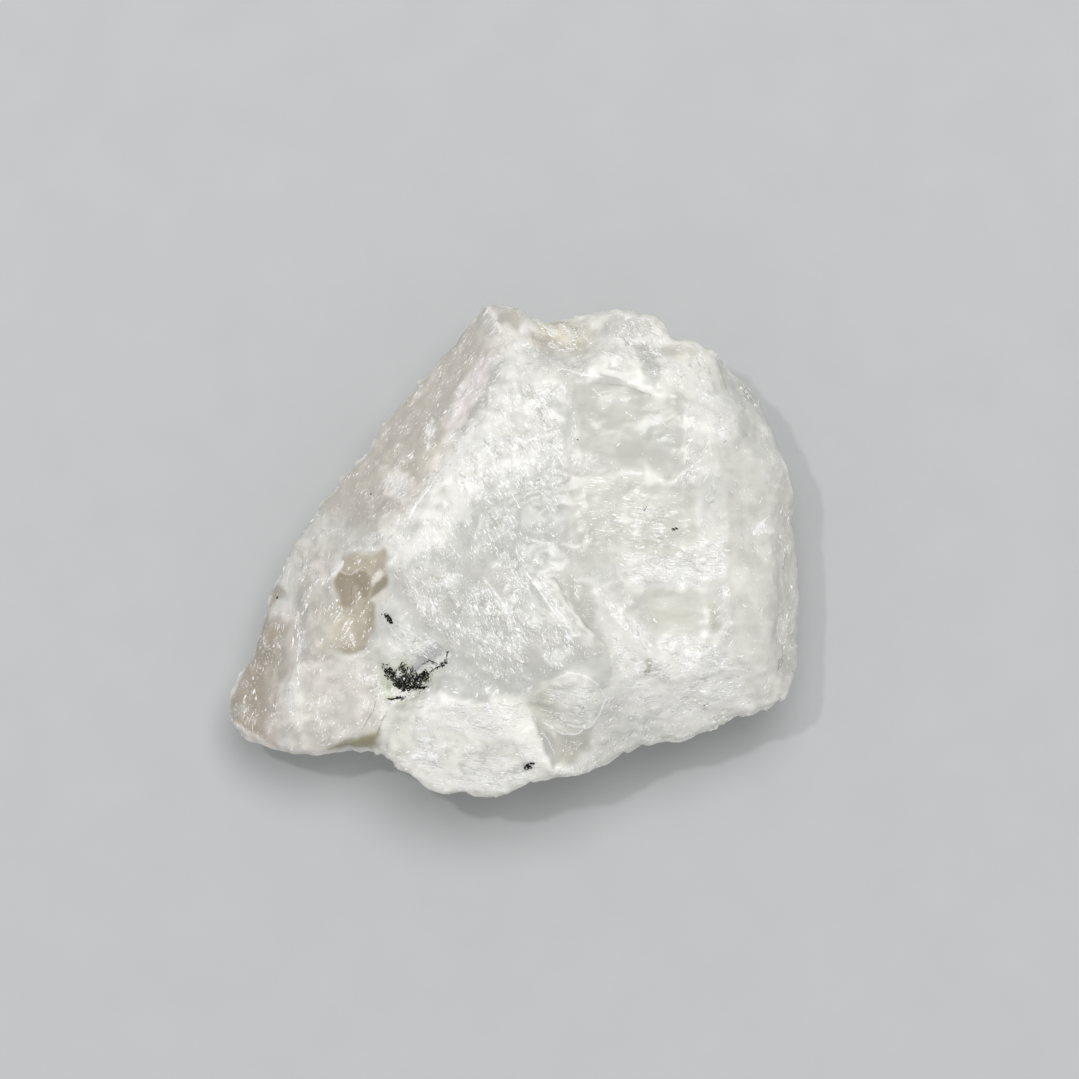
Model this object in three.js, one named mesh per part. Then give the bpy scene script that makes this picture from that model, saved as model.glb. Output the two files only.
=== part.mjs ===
// A rough piece of moonstone: one broken lump of milky feldspar, lying on its back on a small flat spot.
//
// Millimetres, +Z up. The origin lies under the middle of the stone, on the surface that it rests on.
// The upper side is the broad broken face: X runs across it, Y runs up it towards the two humps.
// The face and the back are heights over the same ground plan, and they meet along the rim, the widest
// line round the stone. A facet is a plane through a point that falls, or on the back rises, by an
// angle towards a compass direction: 0 is +X and 90 is +Y.
import * as THREE from "three";
import { ImprovedNoise } from "three/addons/math/ImprovedNoise.js";

// Driving dimensions: the finished stone's overall size.
const WIDTH = 50;
const LENGTH = 43.2;
const HEIGHT = 27;

// The mesh: rows of triangles from the middle of a side to the rim, and the longest step along the rim.
const FACE_ROWS = 27;
const BACK_ROWS = 22;
const RIM_STEP = 1.15;
const PROFILE_STEPS = 80;
const RELAX_SHARES = [0.7, -0.72, 0.7, -0.72, 0.7, -0.72];

// How softly two facets meet, and how steeply the broken side falls away under the rim.
const FACET_BLEND = 0.3;
const SIDE_ANGLE = 71;
const SIDE_ANGLE_SPREAD = 9;

// The middle of the ground plan, from which every part of the rim can be seen.
const MIDDLE = new THREE.Vector2(0, -1);

// The rim seen from above, clockwise from the upper left corner. The widest points of the list are
// WIDTH and LENGTH apart.
const TOP_EDGE = [
  [-2.6, 21.4], [-2.0, 21.6], [-1.2, 21.4], [0.5, 21.2], [1.2, 20.6], [2.3, 20.1], [3.7, 20.0],
  [5.1, 20.4], [6.0, 20.7], [7.4, 20.8], [9.3, 20.9], [10.1, 21.1], [11.1, 20.6], [11.9, 20.6],
  [12.8, 20.3], [13.3, 19.6], [13.8, 18.7], [14.1, 18.4], [15.1, 18.6], [16.0, 18.4],
];
const UPPER_RIGHT_EDGE = [
  [16.7, 17.8], [17.2, 17.3], [17.9, 17.0], [18.3, 16.2], [18.7, 15.5], [19.3, 15.4], [19.8, 14.6],
  [20.5, 14.4], [20.9, 13.9], [21.4, 12.8], [21.8, 11.9], [22.4, 11.1], [22.8, 9.9], [23.3, 8.5],
];
const RIGHT_EDGE = [
  [23.7, 6.9], [24.1, 5.4], [24.4, 4.5], [24.1, 3.8], [24.3, 2.7], [24.5, 1.0], [24.6, -0.4],
  [24.8, -1.3], [24.8, -3.0], [25.0, -4.3], [25.0, -5.7], [24.6, -7.0], [24.8, -8.5], [24.6, -10.6],
  [24.2, -11.5], [23.8, -12.2], [23.5, -12.9], [22.9, -13.4],
];
const LOWER_RIGHT_EDGE = [
  [21.9, -13.9], [21.2, -14.1], [20.2, -14.2], [19.1, -14.8], [18.0, -15.2], [17.0, -15.4],
  [16.3, -16.0], [15.4, -16.4], [14.1, -16.6], [12.6, -16.7], [11.5, -17.0], [9.9, -17.4],
  [9.3, -17.7], [8.5, -18.3], [7.5, -18.7], [6.5, -19.1], [5.1, -19.5], [3.7, -19.8], [2.7, -20.0],
];
const TONGUE_EDGE = [
  [1.4, -20.2], [0.4, -20.6], [-0.4, -21.0], [-1.1, -21.5], [-1.9, -21.6], [-2.4, -21.4],
  [-3.2, -21.6], [-4.0, -21.3], [-5.1, -21.2], [-6.5, -21.2], [-7.4, -21.0], [-8.4, -20.2],
  [-8.9, -19.4], [-10.0, -19.0], [-10.9, -18.4], [-11.1, -18.0], [-11.8, -17.4],
];
const LOWER_LEFT_EDGE = [
  [-12.6, -17.5], [-14.4, -17.5], [-16.1, -17.5], [-18.8, -17.6], [-20.1, -17.5], [-21.2, -17.5],
  [-22.0, -17.0], [-23.0, -16.7], [-23.8, -16.3], [-24.5, -15.7], [-24.9, -14.8], [-25.0, -13.5],
  [-24.9, -12.6], [-24.6, -11.8],
];
const LEFT_EDGE = [
  [-24.0, -10.5], [-23.2, -9.4], [-22.6, -8.2], [-22.3, -7.1], [-22.0, -6.1], [-21.8, -4.6],
  [-21.4, -3.4], [-21.0, -2.3], [-20.6, -1.5], [-20.0, -0.8], [-19.5, 0.1], [-18.9, 1.3],
  [-18.3, 2.5], [-18.0, 3.2], [-17.0, 4.6], [-16.8, 4.8], [-16.3, 4.7],
];
const UPPER_LEFT_EDGE = [
  [-16.0, 5.4], [-15.5, 6.2], [-15.0, 6.6], [-14.4, 7.4], [-13.3, 8.3], [-12.4, 9.5], [-12.0, 10.4],
  [-11.8, 10.8], [-11.1, 11.4], [-10.5, 12.4], [-10.0, 13.2], [-8.4, 15.0], [-7.2, 16.1],
  [-6.3, 17.2], [-5.4, 18.2], [-4.3, 19.7], [-3.5, 20.6],
];

// Facets of the main mass, seen from above. The lowest one at any place is the surface.
const FACE_FACETS = [
  { name: "crown, left", at: [1, -3, 27], angle: 13, towards: 149 },
  { name: "crown, top", at: [1, -3, 27], angle: 9, towards: 90 },
  { name: "crown, right", at: [6, -4, 26.6], angle: 12.5, towards: 352 },
  { name: "crown, towards the dark pit", at: [-4, -8, 25.9], angle: 18, towards: 205 },
  { name: "right shoulder", at: [19.2, -2, 23.7], angle: 33, towards: 4 },
  { name: "right flank", at: [22.6, -4, 21.2], angle: 70, towards: 0 },
  { name: "upper right flank", at: [19.8, 11, 21.4], angle: 58, towards: 35 },
  { name: "upper right corner", at: [15, 15, 22.6], angle: 38, towards: 58 },
  { name: "top band", at: [8, 16, 24.3], angle: 40, towards: 85 },
  { name: "tip", at: [-1, 18, 22.3], angle: 38, towards: 100 },
  { name: "upper left flank", at: [-4.6, 10.4, 24], angle: 52, towards: 142 },
  { name: "middle left flank", at: [-14.9, -0.7, 21], angle: 55, towards: 150 },
  { name: "far left flank", at: [-19, -9.6, 18.5], angle: 52, towards: 168 },
  { name: "left slope with the window", at: [-11.3, -4, 23.3], angle: 27, towards: 176 },
  { name: "lower left plate", at: [-11, -9, 22.4], angle: 24, towards: 220 },
  { name: "lower left corner", at: [-21.5, -15.5, 16.4], angle: 46, towards: 222 },
  { name: "lower middle slope", at: [2, -12.5, 24.8], angle: 42, towards: 262 },
  { name: "lower right slope", at: [12, -11, 24.2], angle: 42, towards: 292 },
];

// The tongue is a thick layer that stands proud of the lower edge, with a broken side left and right.
const TONGUE_FACETS = [
  { name: "top of the layer", at: [-4, -13.5, 24.2], angle: 31, towards: 252 },
  { name: "upper edge", at: [-2.5, -12.3, 24.9], angle: 32, towards: 83 },
  { name: "left side", at: [-11.4, -16.8, 20.6], angle: 58, towards: 158 },
  { name: "right side", at: [2.1, -14.9, 22.8], angle: 48, towards: 29 },
];

// Patches of the face that a flake has left, or on which one still stands. Inside the outline the
// surface is lifted by `lift` in the middle and tilted by `tilt` per millimetre along X and Y.
const PATCHES = [
  {
    name: "cleavage window under the top band",
    outline: [[5.6, 15.4], [8.2, 15.1], [11.2, 14.0], [14.6, 12.9], [16.4, 10.6], [16.2, 6.6],
      [13.4, 7.6], [9.6, 8.0], [6.3, 8.6]],
    lift: -0.6, tilt: [0.02, -0.04], edge: 2.2,
  },
  {
    name: "fibrous plane right of the rib",
    outline: [[7.4, 4.4], [12.0, 5.6], [17.2, 4.6], [18.8, -1.5], [17.6, -8.5], [12.5, -9.8], [8.6, -6.2]],
    lift: -0.35, tilt: [0.02, 0.0], edge: 2.4,
  },
  {
    name: "shell-shaped flake beside the tongue",
    outline: [[0.9, -12.9], [2.4, -11.0], [4.9, -10.4], [7.1, -11.5], [7.8, -13.2], [6.6, -15.2],
      [4.4, -16.2], [2.4, -15.2]],
    lift: 0.5, tilt: [0.06, -0.04], edge: 2.0,
  },
  {
    name: "ledge of the right flank",
    outline: [[19.4, 9.6], [22.2, 9.8], [23.4, 4.6], [22.6, -1.0], [20.4, -1.6], [19.0, 3.6]],
    lift: -0.5, tilt: [0.0, 0.03], edge: 2.2,
  },
  {
    name: "plate at the left notch",
    outline: [[-19.4, 0.6], [-16.6, 5.4], [-15.4, 4.4], [-15.9, 0.6], [-17.4, -1.8]],
    lift: 0.5, tilt: [0.0, 0.0], edge: 2.0,
  },
];

// Shell-shaped hollows: an ellipse with its long axis turned by `turn` degrees from +X.
const HOLLOWS = [
  { name: "scoop in the top edge", at: [4.4, 19.3], radii: [3.9, 4.3], turn: 0, depth: 2.2 },
  { name: "brown window", at: [-13.1, -4.4], radii: [4.9, 2.5], turn: 83, depth: 1.0 },
  { name: "dark pit", at: [-8.9, -11.2], radii: [3.4, 2.0], turn: 20, depth: 1.3 },
  { name: "hollow beside the rib", at: [6.3, -3.6], radii: [3.8, 2.0], turn: 115, depth: 0.7 },
  { name: "chip in the upper right rim", at: [20.4, 13.4], radii: [2.4, 1.3], turn: 125, depth: 0.8 },
  { name: "chip at the top of the left ridge", at: [-6.4, 8.4], radii: [3.6, 1.2], turn: 62, depth: 0.6 },
  { name: "bite behind the tip", at: [0.9, 16.6], radii: [3.2, 1.4], turn: 115, depth: 0.7 },
];

// Long low ribs, and grooves where `height` is negative.
const RIBS = [
  { name: "white rib", from: [3.2, -3.9], to: [7.6, -9.9], width: 1.1, height: 0.7 },
  { name: "edge over the left flank", from: [-17.6, -4.0], to: [-19.1, -14.4], width: 1.0, height: 0.5 },
  { name: "shaded side under the lower left plate", from: [-16.6, -18.3], to: [-12.4, -17.5], width: 1.7,
    height: -4.4 },
  { name: "groove above the tongue", from: [-6.6, -11.8], to: [-3.0, -12.3], width: 1.0, height: -0.5 },
];

// Facets of the back, which the stone lies on. The highest one at any place is the surface.
const BACK_FACETS = [
  { name: "resting spot", at: [0, 0, 0], angle: 0, towards: 0 },
  { name: "left", at: [-8, -3, 0], angle: 30, towards: 176 },
  { name: "left, outer", at: [-20.5, -2.5, 10.2], angle: 50, towards: 158 },
  { name: "lower left", at: [-6.5, -8, 0], angle: 29, towards: 216 },
  { name: "under the lower left plate", at: [-16, -17, 9.5], angle: 50, towards: 262 },
  { name: "under the tongue", at: [-3, -21, 16.5], angle: 55, towards: 268 },
  { name: "lower right", at: [10, -17, 16.5], angle: 57, towards: 290 },
  { name: "lower right corner", at: [21, -14, 14.6], angle: 50, towards: 318 },
  { name: "right", at: [24, 1, 13.3], angle: 40, towards: 355 },
  { name: "upper right", at: [21, 13, 14], angle: 44, towards: 32 },
  { name: "upper right, outer", at: [15, 18.4, 16], angle: 56, towards: 60 },
  { name: "top", at: [5, 20.3, 15], angle: 52, towards: 88 },
  { name: "upper left", at: [-11.5, 10.8, 12.6], angle: 56, towards: 140 },
];

// Slabs that stand on the back, and places that have lost one, seen from above. Here a lift goes inwards.
const BACK_PATCHES = [
  {
    name: "slab lost under the right side",
    outline: [[12.5, 6.5], [20.5, 8.5], [23.5, 1.0], [22.8, -7.0], [17.0, -8.0], [13.6, -2.0]],
    lift: 1.5, tilt: [0.03, 0.05], edge: 2.2,
  },
  {
    name: "slab left under the top edge",
    outline: [[-1.5, 13.0], [5.0, 11.5], [10.0, 13.5], [9.0, 18.6], [0.5, 18.8]],
    lift: -1.2, tilt: [0.05, 0.0], edge: 2.0,
  },
  {
    name: "slab left under the left side",
    outline: [[-11.5, -1.0], [-15.0, 2.5], [-19.0, -2.5], [-20.5, -9.5], [-15.5, -10.5], [-12.0, -6.0]],
    lift: -1.3, tilt: [0.0, 0.06], edge: 2.2,
  },
  {
    name: "flake lost under the tongue",
    outline: [[-8.6, -14.6], [-3.5, -12.8], [2.6, -14.2], [3.6, -18.4], [-5.0, -19.8], [-8.8, -18.6]],
    lift: 1.5, tilt: [-0.05, 0.0], edge: 2.0,
  },
];
const BACK_HOLLOWS = [
  { name: "shell under the upper left edge", at: [-9.2, 9.4], radii: [5.2, 2.6], turn: 55, depth: -1.5 },
  { name: "shell under the lower right edge", at: [12.4, -12.6], radii: [5.6, 2.8], turn: 25, depth: -1.7 },
  { name: "shell beside the resting spot", at: [10.6, 9.4], radii: [3.6, 2.6], turn: 135, depth: -1.3 },
  { name: "shell under the lower left corner", at: [-16.0, -13.4], radii: [4.6, 2.2], turn: 20, depth: -1.1 },
];

// Cleavage steps across the back: each STEP_RISE of its height is flat first and then steep.
const STEP_RISE = 3.6;
const STEP_DEPTH = 1.1;
const STEP_LEAN = new THREE.Vector2(0.42, -0.26);

// Broken-surface roughness: waves of a length and a height.
const ROUGHNESS = [
  { length: 6.5, height: 0.34 },
  { length: 2.8, height: 0.17 },
];

const noise = new ImprovedNoise();
const slopeOf = (angle) => Math.tan(THREE.MathUtils.degToRad(angle));
const smooth = (low, high, value) => THREE.MathUtils.smoothstep(value, low, high);

// The height of a facet's plane over a place; sign is -1 where the facet falls and 1 where it rises.
function planeHeight(facet, x, y, sign) {
  const direction = THREE.MathUtils.degToRad(facet.towards);
  const along = (x - facet.at[0]) * Math.cos(direction) + (y - facet.at[1]) * Math.sin(direction);
  return facet.at[2] + sign * slopeOf(facet.angle) * along;
}

// The lowest (sign -1) or highest (sign 1) of several heights, with a soft turn between them.
function blend(heights, sign) {
  const extreme = sign * Math.max(...heights.map((height) => sign * height));
  const sum = heights.reduce((total, height) => total + Math.exp((sign * (height - extreme)) / FACET_BLEND), 0);
  return extreme + sign * FACET_BLEND * Math.log(sum);
}

// How far a place lies inside a closed outline; negative outside.
function depthInside(outline, x, y) {
  let nearest = Infinity;
  let inside = false;
  outline.forEach(([ax, ay], i) => {
    const [bx, by] = outline[(i + 1) % outline.length];
    nearest = Math.min(nearest, distanceToSegment(ax, ay, bx, by, x, y).distance);
    if (ay > y !== by > y && x < ax + ((y - ay) * (bx - ax)) / (by - ay)) inside = !inside;
  });
  return inside ? nearest : -nearest;
}

// The distance from a place to a segment, and how far along the segment the nearest point lies.
function distanceToSegment(ax, ay, bx, by, x, y) {
  const [dx, dy] = [bx - ax, by - ay];
  const along = THREE.MathUtils.clamp(((x - ax) * dx + (y - ay) * dy) / (dx * dx + dy * dy), 0, 1);
  return { distance: Math.hypot(x - ax - along * dx, y - ay - along * dy), along };
}

function patchLift(patch, x, y) {
  const share = smooth(-patch.edge / 2, patch.edge / 2, depthInside(patch.outline, x, y));
  if (share === 0) return 0;
  const count = patch.outline.length;
  const middleX = patch.outline.reduce((sum, point) => sum + point[0], 0) / count;
  const middleY = patch.outline.reduce((sum, point) => sum + point[1], 0) / count;
  return share * (patch.lift + patch.tilt[0] * (x - middleX) + patch.tilt[1] * (y - middleY));
}

function hollowLift(hollow, x, y) {
  const turn = THREE.MathUtils.degToRad(hollow.turn);
  const [dx, dy] = [x - hollow.at[0], y - hollow.at[1]];
  const long = (dx * Math.cos(turn) + dy * Math.sin(turn)) / hollow.radii[0];
  const short = (dy * Math.cos(turn) - dx * Math.sin(turn)) / hollow.radii[1];
  return -hollow.depth * Math.max(0, 1 - long * long - short * short);
}

function ribLift(rib, x, y) {
  const { distance, along } = distanceToSegment(...rib.from, ...rib.to, x, y);
  const fade = 0.4 + 0.6 * Math.sin(Math.PI * along);
  return rib.height * fade * (1 - smooth(0, rib.width, distance));
}

// The height of the broken face over a place.
function faceHeight(x, y) {
  const mass = blend(FACE_FACETS.map((facet) => planeHeight(facet, x, y, -1)), -1);
  const tongue = blend(TONGUE_FACETS.map((facet) => planeHeight(facet, x, y, -1)), -1);
  const lifts = [
    ...PATCHES.map((patch) => patchLift(patch, x, y)),
    ...HOLLOWS.map((hollow) => hollowLift(hollow, x, y)),
    ...RIBS.map((rib) => ribLift(rib, x, y)),
  ];
  return Math.max(mass, tongue) + lifts.reduce((sum, lift) => sum + lift, 0);
}

// The height of the back over a place: its facets, cut into cleavage steps, then the broken side that
// falls away from the rim. `inset` is how far the place lies inside the rim.
function backHeight(x, y, rimHeight, inset, sideAngle) {
  const facets = blend(BACK_FACETS.map((facet) => planeHeight(facet, x, y, 1)), 1);
  const stepped = (facets + STEP_LEAN.x * x + STEP_LEAN.y * y) / STEP_RISE;
  const withinStep = stepped - Math.floor(stepped);
  const lifts = [
    STEP_DEPTH * (smooth(0.45, 1, withinStep) - withinStep),
    ...BACK_PATCHES.map((patch) => patchLift(patch, x, y)),
    ...BACK_HOLLOWS.map((hollow) => hollowLift(hollow, x, y)),
  ];
  const relief = lifts.reduce((sum, lift) => sum + lift, 0) * smooth(0, 3, facets) * smooth(0, 2, inset);
  return Math.max(0, facets + relief, rimHeight - slopeOf(sideAngle) * inset);
}

// The rim as a closed line of points a short step apart. Each holds its place round the rim from 0 to 1.
function makeRim() {
  const corners = [
    ...TOP_EDGE, ...UPPER_RIGHT_EDGE, ...RIGHT_EDGE, ...LOWER_RIGHT_EDGE,
    ...TONGUE_EDGE, ...LOWER_LEFT_EDGE, ...LEFT_EDGE, ...UPPER_LEFT_EDGE,
  ].map(([x, y]) => new THREE.Vector2(x, y)).reverse();
  const points = corners.flatMap((corner, i) => {
    const next = corners[(i + 1) % corners.length];
    const steps = Math.ceil(corner.distanceTo(next) / RIM_STEP);
    return Array.from({ length: steps }, (_, step) => corner.clone().lerp(next, step / steps));
  });
  const lengths = points.map((point, i) => point.distanceTo(points[(i + 1) % points.length]));
  const total = lengths.reduce((sum, length) => sum + length, 0);
  let travelled = 0;
  const places = lengths.map((length) => (travelled += length) / total - length / total);
  return { points, places };
}

// The point of the rim at a place from 0 to 1.
function rimPoint(rim, place) {
  const after = rim.places.findIndex((value) => value > place);
  const next = after === -1 ? rim.points.length : after;
  const end = after === -1 ? 1 : rim.places[next];
  const share = (place - rim.places[next - 1]) / (end - rim.places[next - 1]);
  return rim.points[next - 1].clone().lerp(rim.points[next % rim.points.length], share);
}

// The places round one ring of vertices: the rim's own on the last ring, evenly spread on the others.
function ringPlaces(rim, row, rows) {
  if (row === rows) return rim.places;
  const count = Math.max(6, Math.round((rim.places.length * row) / rows));
  return Array.from({ length: count }, (_, i) => (i + (row % 2) / 2) / count);
}

// Walks from the middle to the rim and gives the point at each equal share of the way along the surface.
function profile(edge, heightAt, rows) {
  const walk = Array.from({ length: PROFILE_STEPS + 1 }, (_, i) => {
    const share = i / PROFILE_STEPS;
    const ground = MIDDLE.clone().lerp(edge, share);
    return new THREE.Vector3(ground.x, ground.y, heightAt(ground, share));
  });
  const travelled = walk.map(() => 0);
  for (let i = 1; i < walk.length; i += 1) travelled[i] = travelled[i - 1] + walk[i].distanceTo(walk[i - 1]);
  return (row) => {
    const wanted = (travelled[PROFILE_STEPS] * row) / rows;
    const next = Math.max(1, travelled.findIndex((value) => value >= wanted - 1e-9));
    const share = (wanted - travelled[next - 1]) / (travelled[next] - travelled[next - 1]);
    return walk[next - 1].clone().lerp(walk[next], share);
  };
}

// Joins two neighbouring rings with triangles, taking whichever ring's next vertex comes first.
function stitch(inner, outer, upward) {
  const triangles = [];
  let [i, o] = [0, 0];
  const placeOf = (ring, n) => ring.places[n % ring.places.length] + Math.floor(n / ring.places.length);
  const vertexOf = (ring, n) => ring.first + (n % ring.places.length);
  while (i < inner.places.length || o < outer.places.length) {
    const moveOuter =
      i === inner.places.length ||
      (o < outer.places.length && placeOf(outer, o + 1) <= placeOf(inner, i + 1));
    const third = moveOuter ? vertexOf(outer, o + 1) : vertexOf(inner, i + 1);
    triangles.push([vertexOf(inner, i), vertexOf(outer, o), third]);
    if (moveOuter) o += 1;
    else i += 1;
  }
  return upward ? triangles : triangles.map(([a, b, c]) => [a, c, b]);
}

// One side of the stone as rings of vertices from the middle to the rim. `rimFirst` is the first vertex
// of the rim, which both sides share.
function makeSide(rim, vertices, rimFirst, rows, upward, heightFor) {
  const middleFirst = vertices.length;
  vertices.push(new THREE.Vector3(MIDDLE.x, MIDDLE.y, heightFor(rim.points[0])(MIDDLE, 0)));
  const triangles = [];
  let inner = { first: middleFirst, places: [0] };
  for (let row = 1; row <= rows; row += 1) {
    const places = ringPlaces(rim, row, rows);
    const outer = { first: row === rows ? rimFirst : vertices.length, places };
    if (row < rows) {
      places.forEach((place) => {
        const edge = rimPoint(rim, place);
        vertices.push(profile(edge, heightFor(edge), rows)(row));
      });
    }
    triangles.push(...stitch(inner, outer, upward));
    inner = outer;
  }
  return triangles.filter(([a, b, c]) => a !== b && b !== c && a !== c);
}

// Moves each vertex a share of the way to the middle of its neighbours. A positive share rounds off
// saw-toothed edges, and a negative one right after it takes back the shrinking. The resting spot stays flat.
function relax(geometry, share) {
  const position = geometry.getAttribute("position");
  const neighbours = Array.from({ length: position.count }, () => new Set());
  for (let i = 0; i < geometry.index.count; i += 3) {
    const corners = [0, 1, 2].map((corner) => geometry.index.getX(i + corner));
    corners.forEach((vertex) => corners.forEach((other) => neighbours[vertex].add(other)));
  }
  const points = neighbours.map((_, i) => new THREE.Vector3().fromBufferAttribute(position, i));
  points.forEach((point, i) => {
    const middle = new THREE.Vector3();
    neighbours[i].forEach((other) => middle.addScaledVector(points[other], 1 / neighbours[i].size));
    const moved = point.clone().lerp(middle, share);
    position.setXYZ(i, moved.x, moved.y, point.z < 0.01 ? point.z : moved.z);
  });
}

// Moves each vertex along its normal by the broken surface's waves, and leaves the resting spot flat.
function roughen(geometry) {
  geometry.computeVertexNormals();
  const position = geometry.getAttribute("position");
  const normal = geometry.getAttribute("normal");
  const point = new THREE.Vector3();
  const outward = new THREE.Vector3();
  for (let i = 0; i < position.count; i += 1) {
    point.fromBufferAttribute(position, i);
    outward.fromBufferAttribute(normal, i);
    const free = smooth(0.05, 1.5, point.z);
    const wave = ROUGHNESS.reduce((sum, { length, height }) => {
      const at = point.clone().divideScalar(length);
      return sum + height * noise.noise(at.x + length, at.y - length, at.z);
    }, 0);
    point.addScaledVector(outward, wave * free);
    position.setXYZ(i, point.x, point.y, point.z);
  }
}

// Fits the stone to its overall size and stands it on the ground, with the origin under its middle.
function settle(geometry) {
  geometry.computeBoundingBox();
  const size = geometry.boundingBox.getSize(new THREE.Vector3());
  const centre = geometry.boundingBox.getCenter(new THREE.Vector3());
  geometry.translate(-centre.x, -centre.y, -geometry.boundingBox.min.z);
  geometry.scale(WIDTH / size.x, LENGTH / size.y, HEIGHT / size.z);
}

function makeStone() {
  const rim = makeRim();
  const vertices = rim.points.map((point) => new THREE.Vector3(point.x, point.y, faceHeight(point.x, point.y)));
  const face = makeSide(rim, vertices, 0, FACE_ROWS, true, () => (ground) => faceHeight(ground.x, ground.y));
  const back = makeSide(rim, vertices, 0, BACK_ROWS, false, (edge) => {
    const rimHeight = faceHeight(edge.x, edge.y);
    const reach = edge.distanceTo(MIDDLE);
    const sideAngle = SIDE_ANGLE + SIDE_ANGLE_SPREAD * noise.noise(edge.x / 5, edge.y / 5, 0.5);
    return (ground, share) => backHeight(ground.x, ground.y, rimHeight, (1 - share) * reach, sideAngle);
  });
  const geometry = new THREE.BufferGeometry().setFromPoints(vertices);
  geometry.setIndex([...face, ...back].flat());
  RELAX_SHARES.forEach((share) => relax(geometry, share));
  roughen(geometry);
  settle(geometry);
  geometry.computeVertexNormals();
  return geometry;
}

const stone = new THREE.Mesh(
  makeStone(),
  new THREE.MeshStandardMaterial({ color: 0xe2e2dc, roughness: 0.42, metalness: 0 }),
);
stone.name = "moonstone";

const group = new THREE.Group();
group.add(stone);

export default group;
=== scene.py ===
"""A rough moonstone: a broken lump of milky feldspar with black tourmaline grown into a pit of its face.

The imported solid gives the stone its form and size. This script cuts its surface finer, breaks it into
ledges, chips and cleavage steps, and paints veils, windows and stains into the milky body.
Objects are in metres in the solid's frame. The stone is worked in millimetres, and features of the face
are placed on its ground plan, X across the face and Y up it. Turns are in degrees from +X.
"""

from __future__ import annotations

import logging
import math
from dataclasses import dataclass
from enum import Enum
from functools import partial, reduce
from typing import ClassVar, Sequence

import bpy
import numpy as np
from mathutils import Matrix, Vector
from mathutils.bvhtree import BVHTree

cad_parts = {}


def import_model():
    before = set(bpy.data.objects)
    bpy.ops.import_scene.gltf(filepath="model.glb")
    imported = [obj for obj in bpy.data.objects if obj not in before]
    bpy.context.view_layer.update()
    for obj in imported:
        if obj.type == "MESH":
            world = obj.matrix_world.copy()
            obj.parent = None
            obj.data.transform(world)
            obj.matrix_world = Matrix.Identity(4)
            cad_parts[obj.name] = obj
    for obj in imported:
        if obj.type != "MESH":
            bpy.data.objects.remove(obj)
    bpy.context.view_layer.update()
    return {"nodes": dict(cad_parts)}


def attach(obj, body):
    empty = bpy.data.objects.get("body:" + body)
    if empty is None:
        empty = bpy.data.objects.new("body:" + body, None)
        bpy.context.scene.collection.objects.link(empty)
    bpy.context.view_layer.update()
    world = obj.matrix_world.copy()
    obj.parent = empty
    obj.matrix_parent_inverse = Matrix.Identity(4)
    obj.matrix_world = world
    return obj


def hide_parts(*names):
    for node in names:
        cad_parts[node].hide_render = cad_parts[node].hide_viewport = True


log = logging.getLogger("rough_moonstone")

MM = 0.001
NODE = "moonstone"
TINY = 1e-12

# Heights in millimetres: where rays are dropped from, and below which a point belongs to the flat foot.
RAY_HEIGHT = 60.0
FOOT_HEIGHT = 0.02

# How far from a hairline, in millimetres, it keeps its full strength and where it ends.
HAIR_CORE, HAIR_REACH = 0.32, 0.7

# Where a streak leaves its full strength, in widths, and where a spot leaves it and ends, in radii.
STREAK_CORE = 0.2
SPOT_CORE, SPOT_END = 0.55, 1.1

# The length and width of a fleck in millimetres, where grain is 0 and where it is 1.
ROUND_FLECK = (0.75, 0.68)
DRAWN_FLECK = (2.25, 0.36)

Point = tuple[float, float]
Triple = tuple[float, float, float]
Face = tuple[int, ...]
Socket = bpy.types.NodeSocket


def smooth(low: float, high: float, value: np.ndarray) -> np.ndarray:
    """The smooth step from 0 at low to 1 at high."""
    share = np.clip((value - low) / (high - low), 0.0, 1.0)
    return share * share * (3.0 - 2.0 * share)


def mix(first: np.ndarray | float, second: np.ndarray | float, share: np.ndarray | float) -> np.ndarray:
    """A blend from first to second by share."""
    return first + (second - first) * share


def linear(colour: Triple) -> np.ndarray:
    """Scene-linear values of a colour given as display values from 0 to 255."""
    value = np.array(colour, float) / 255.0
    return np.where(value <= 0.04045, value / 12.92, ((value + 0.055) / 1.055) ** 2.4)


def new_object(name: str, points: Sequence[Sequence[float]], faces: Sequence[Face]) -> bpy.types.Object:
    """Makes a mesh object and puts it into the scene.

    Args:
        name: the object's name.
        points: its corners, in metres.
        faces: the numbers of each face's corners.

    Returns:
        The object.
    """
    mesh = bpy.data.meshes.new(name)
    mesh.from_pydata(points, [], faces)
    mesh.update()
    piece = bpy.data.objects.new(name, mesh)
    bpy.context.scene.collection.objects.link(piece)
    return piece


def ground_under(place: np.ndarray, tree: BVHTree) -> tuple[Vector | None, Vector | None]:
    """The point of a surface straight under a place on the ground plan, and the way out of it."""
    hit, normal, _, _ = tree.ray_cast(Vector((*place, RAY_HEIGHT)), Vector((0.0, 0.0, -1.0)))
    return hit, normal


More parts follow.
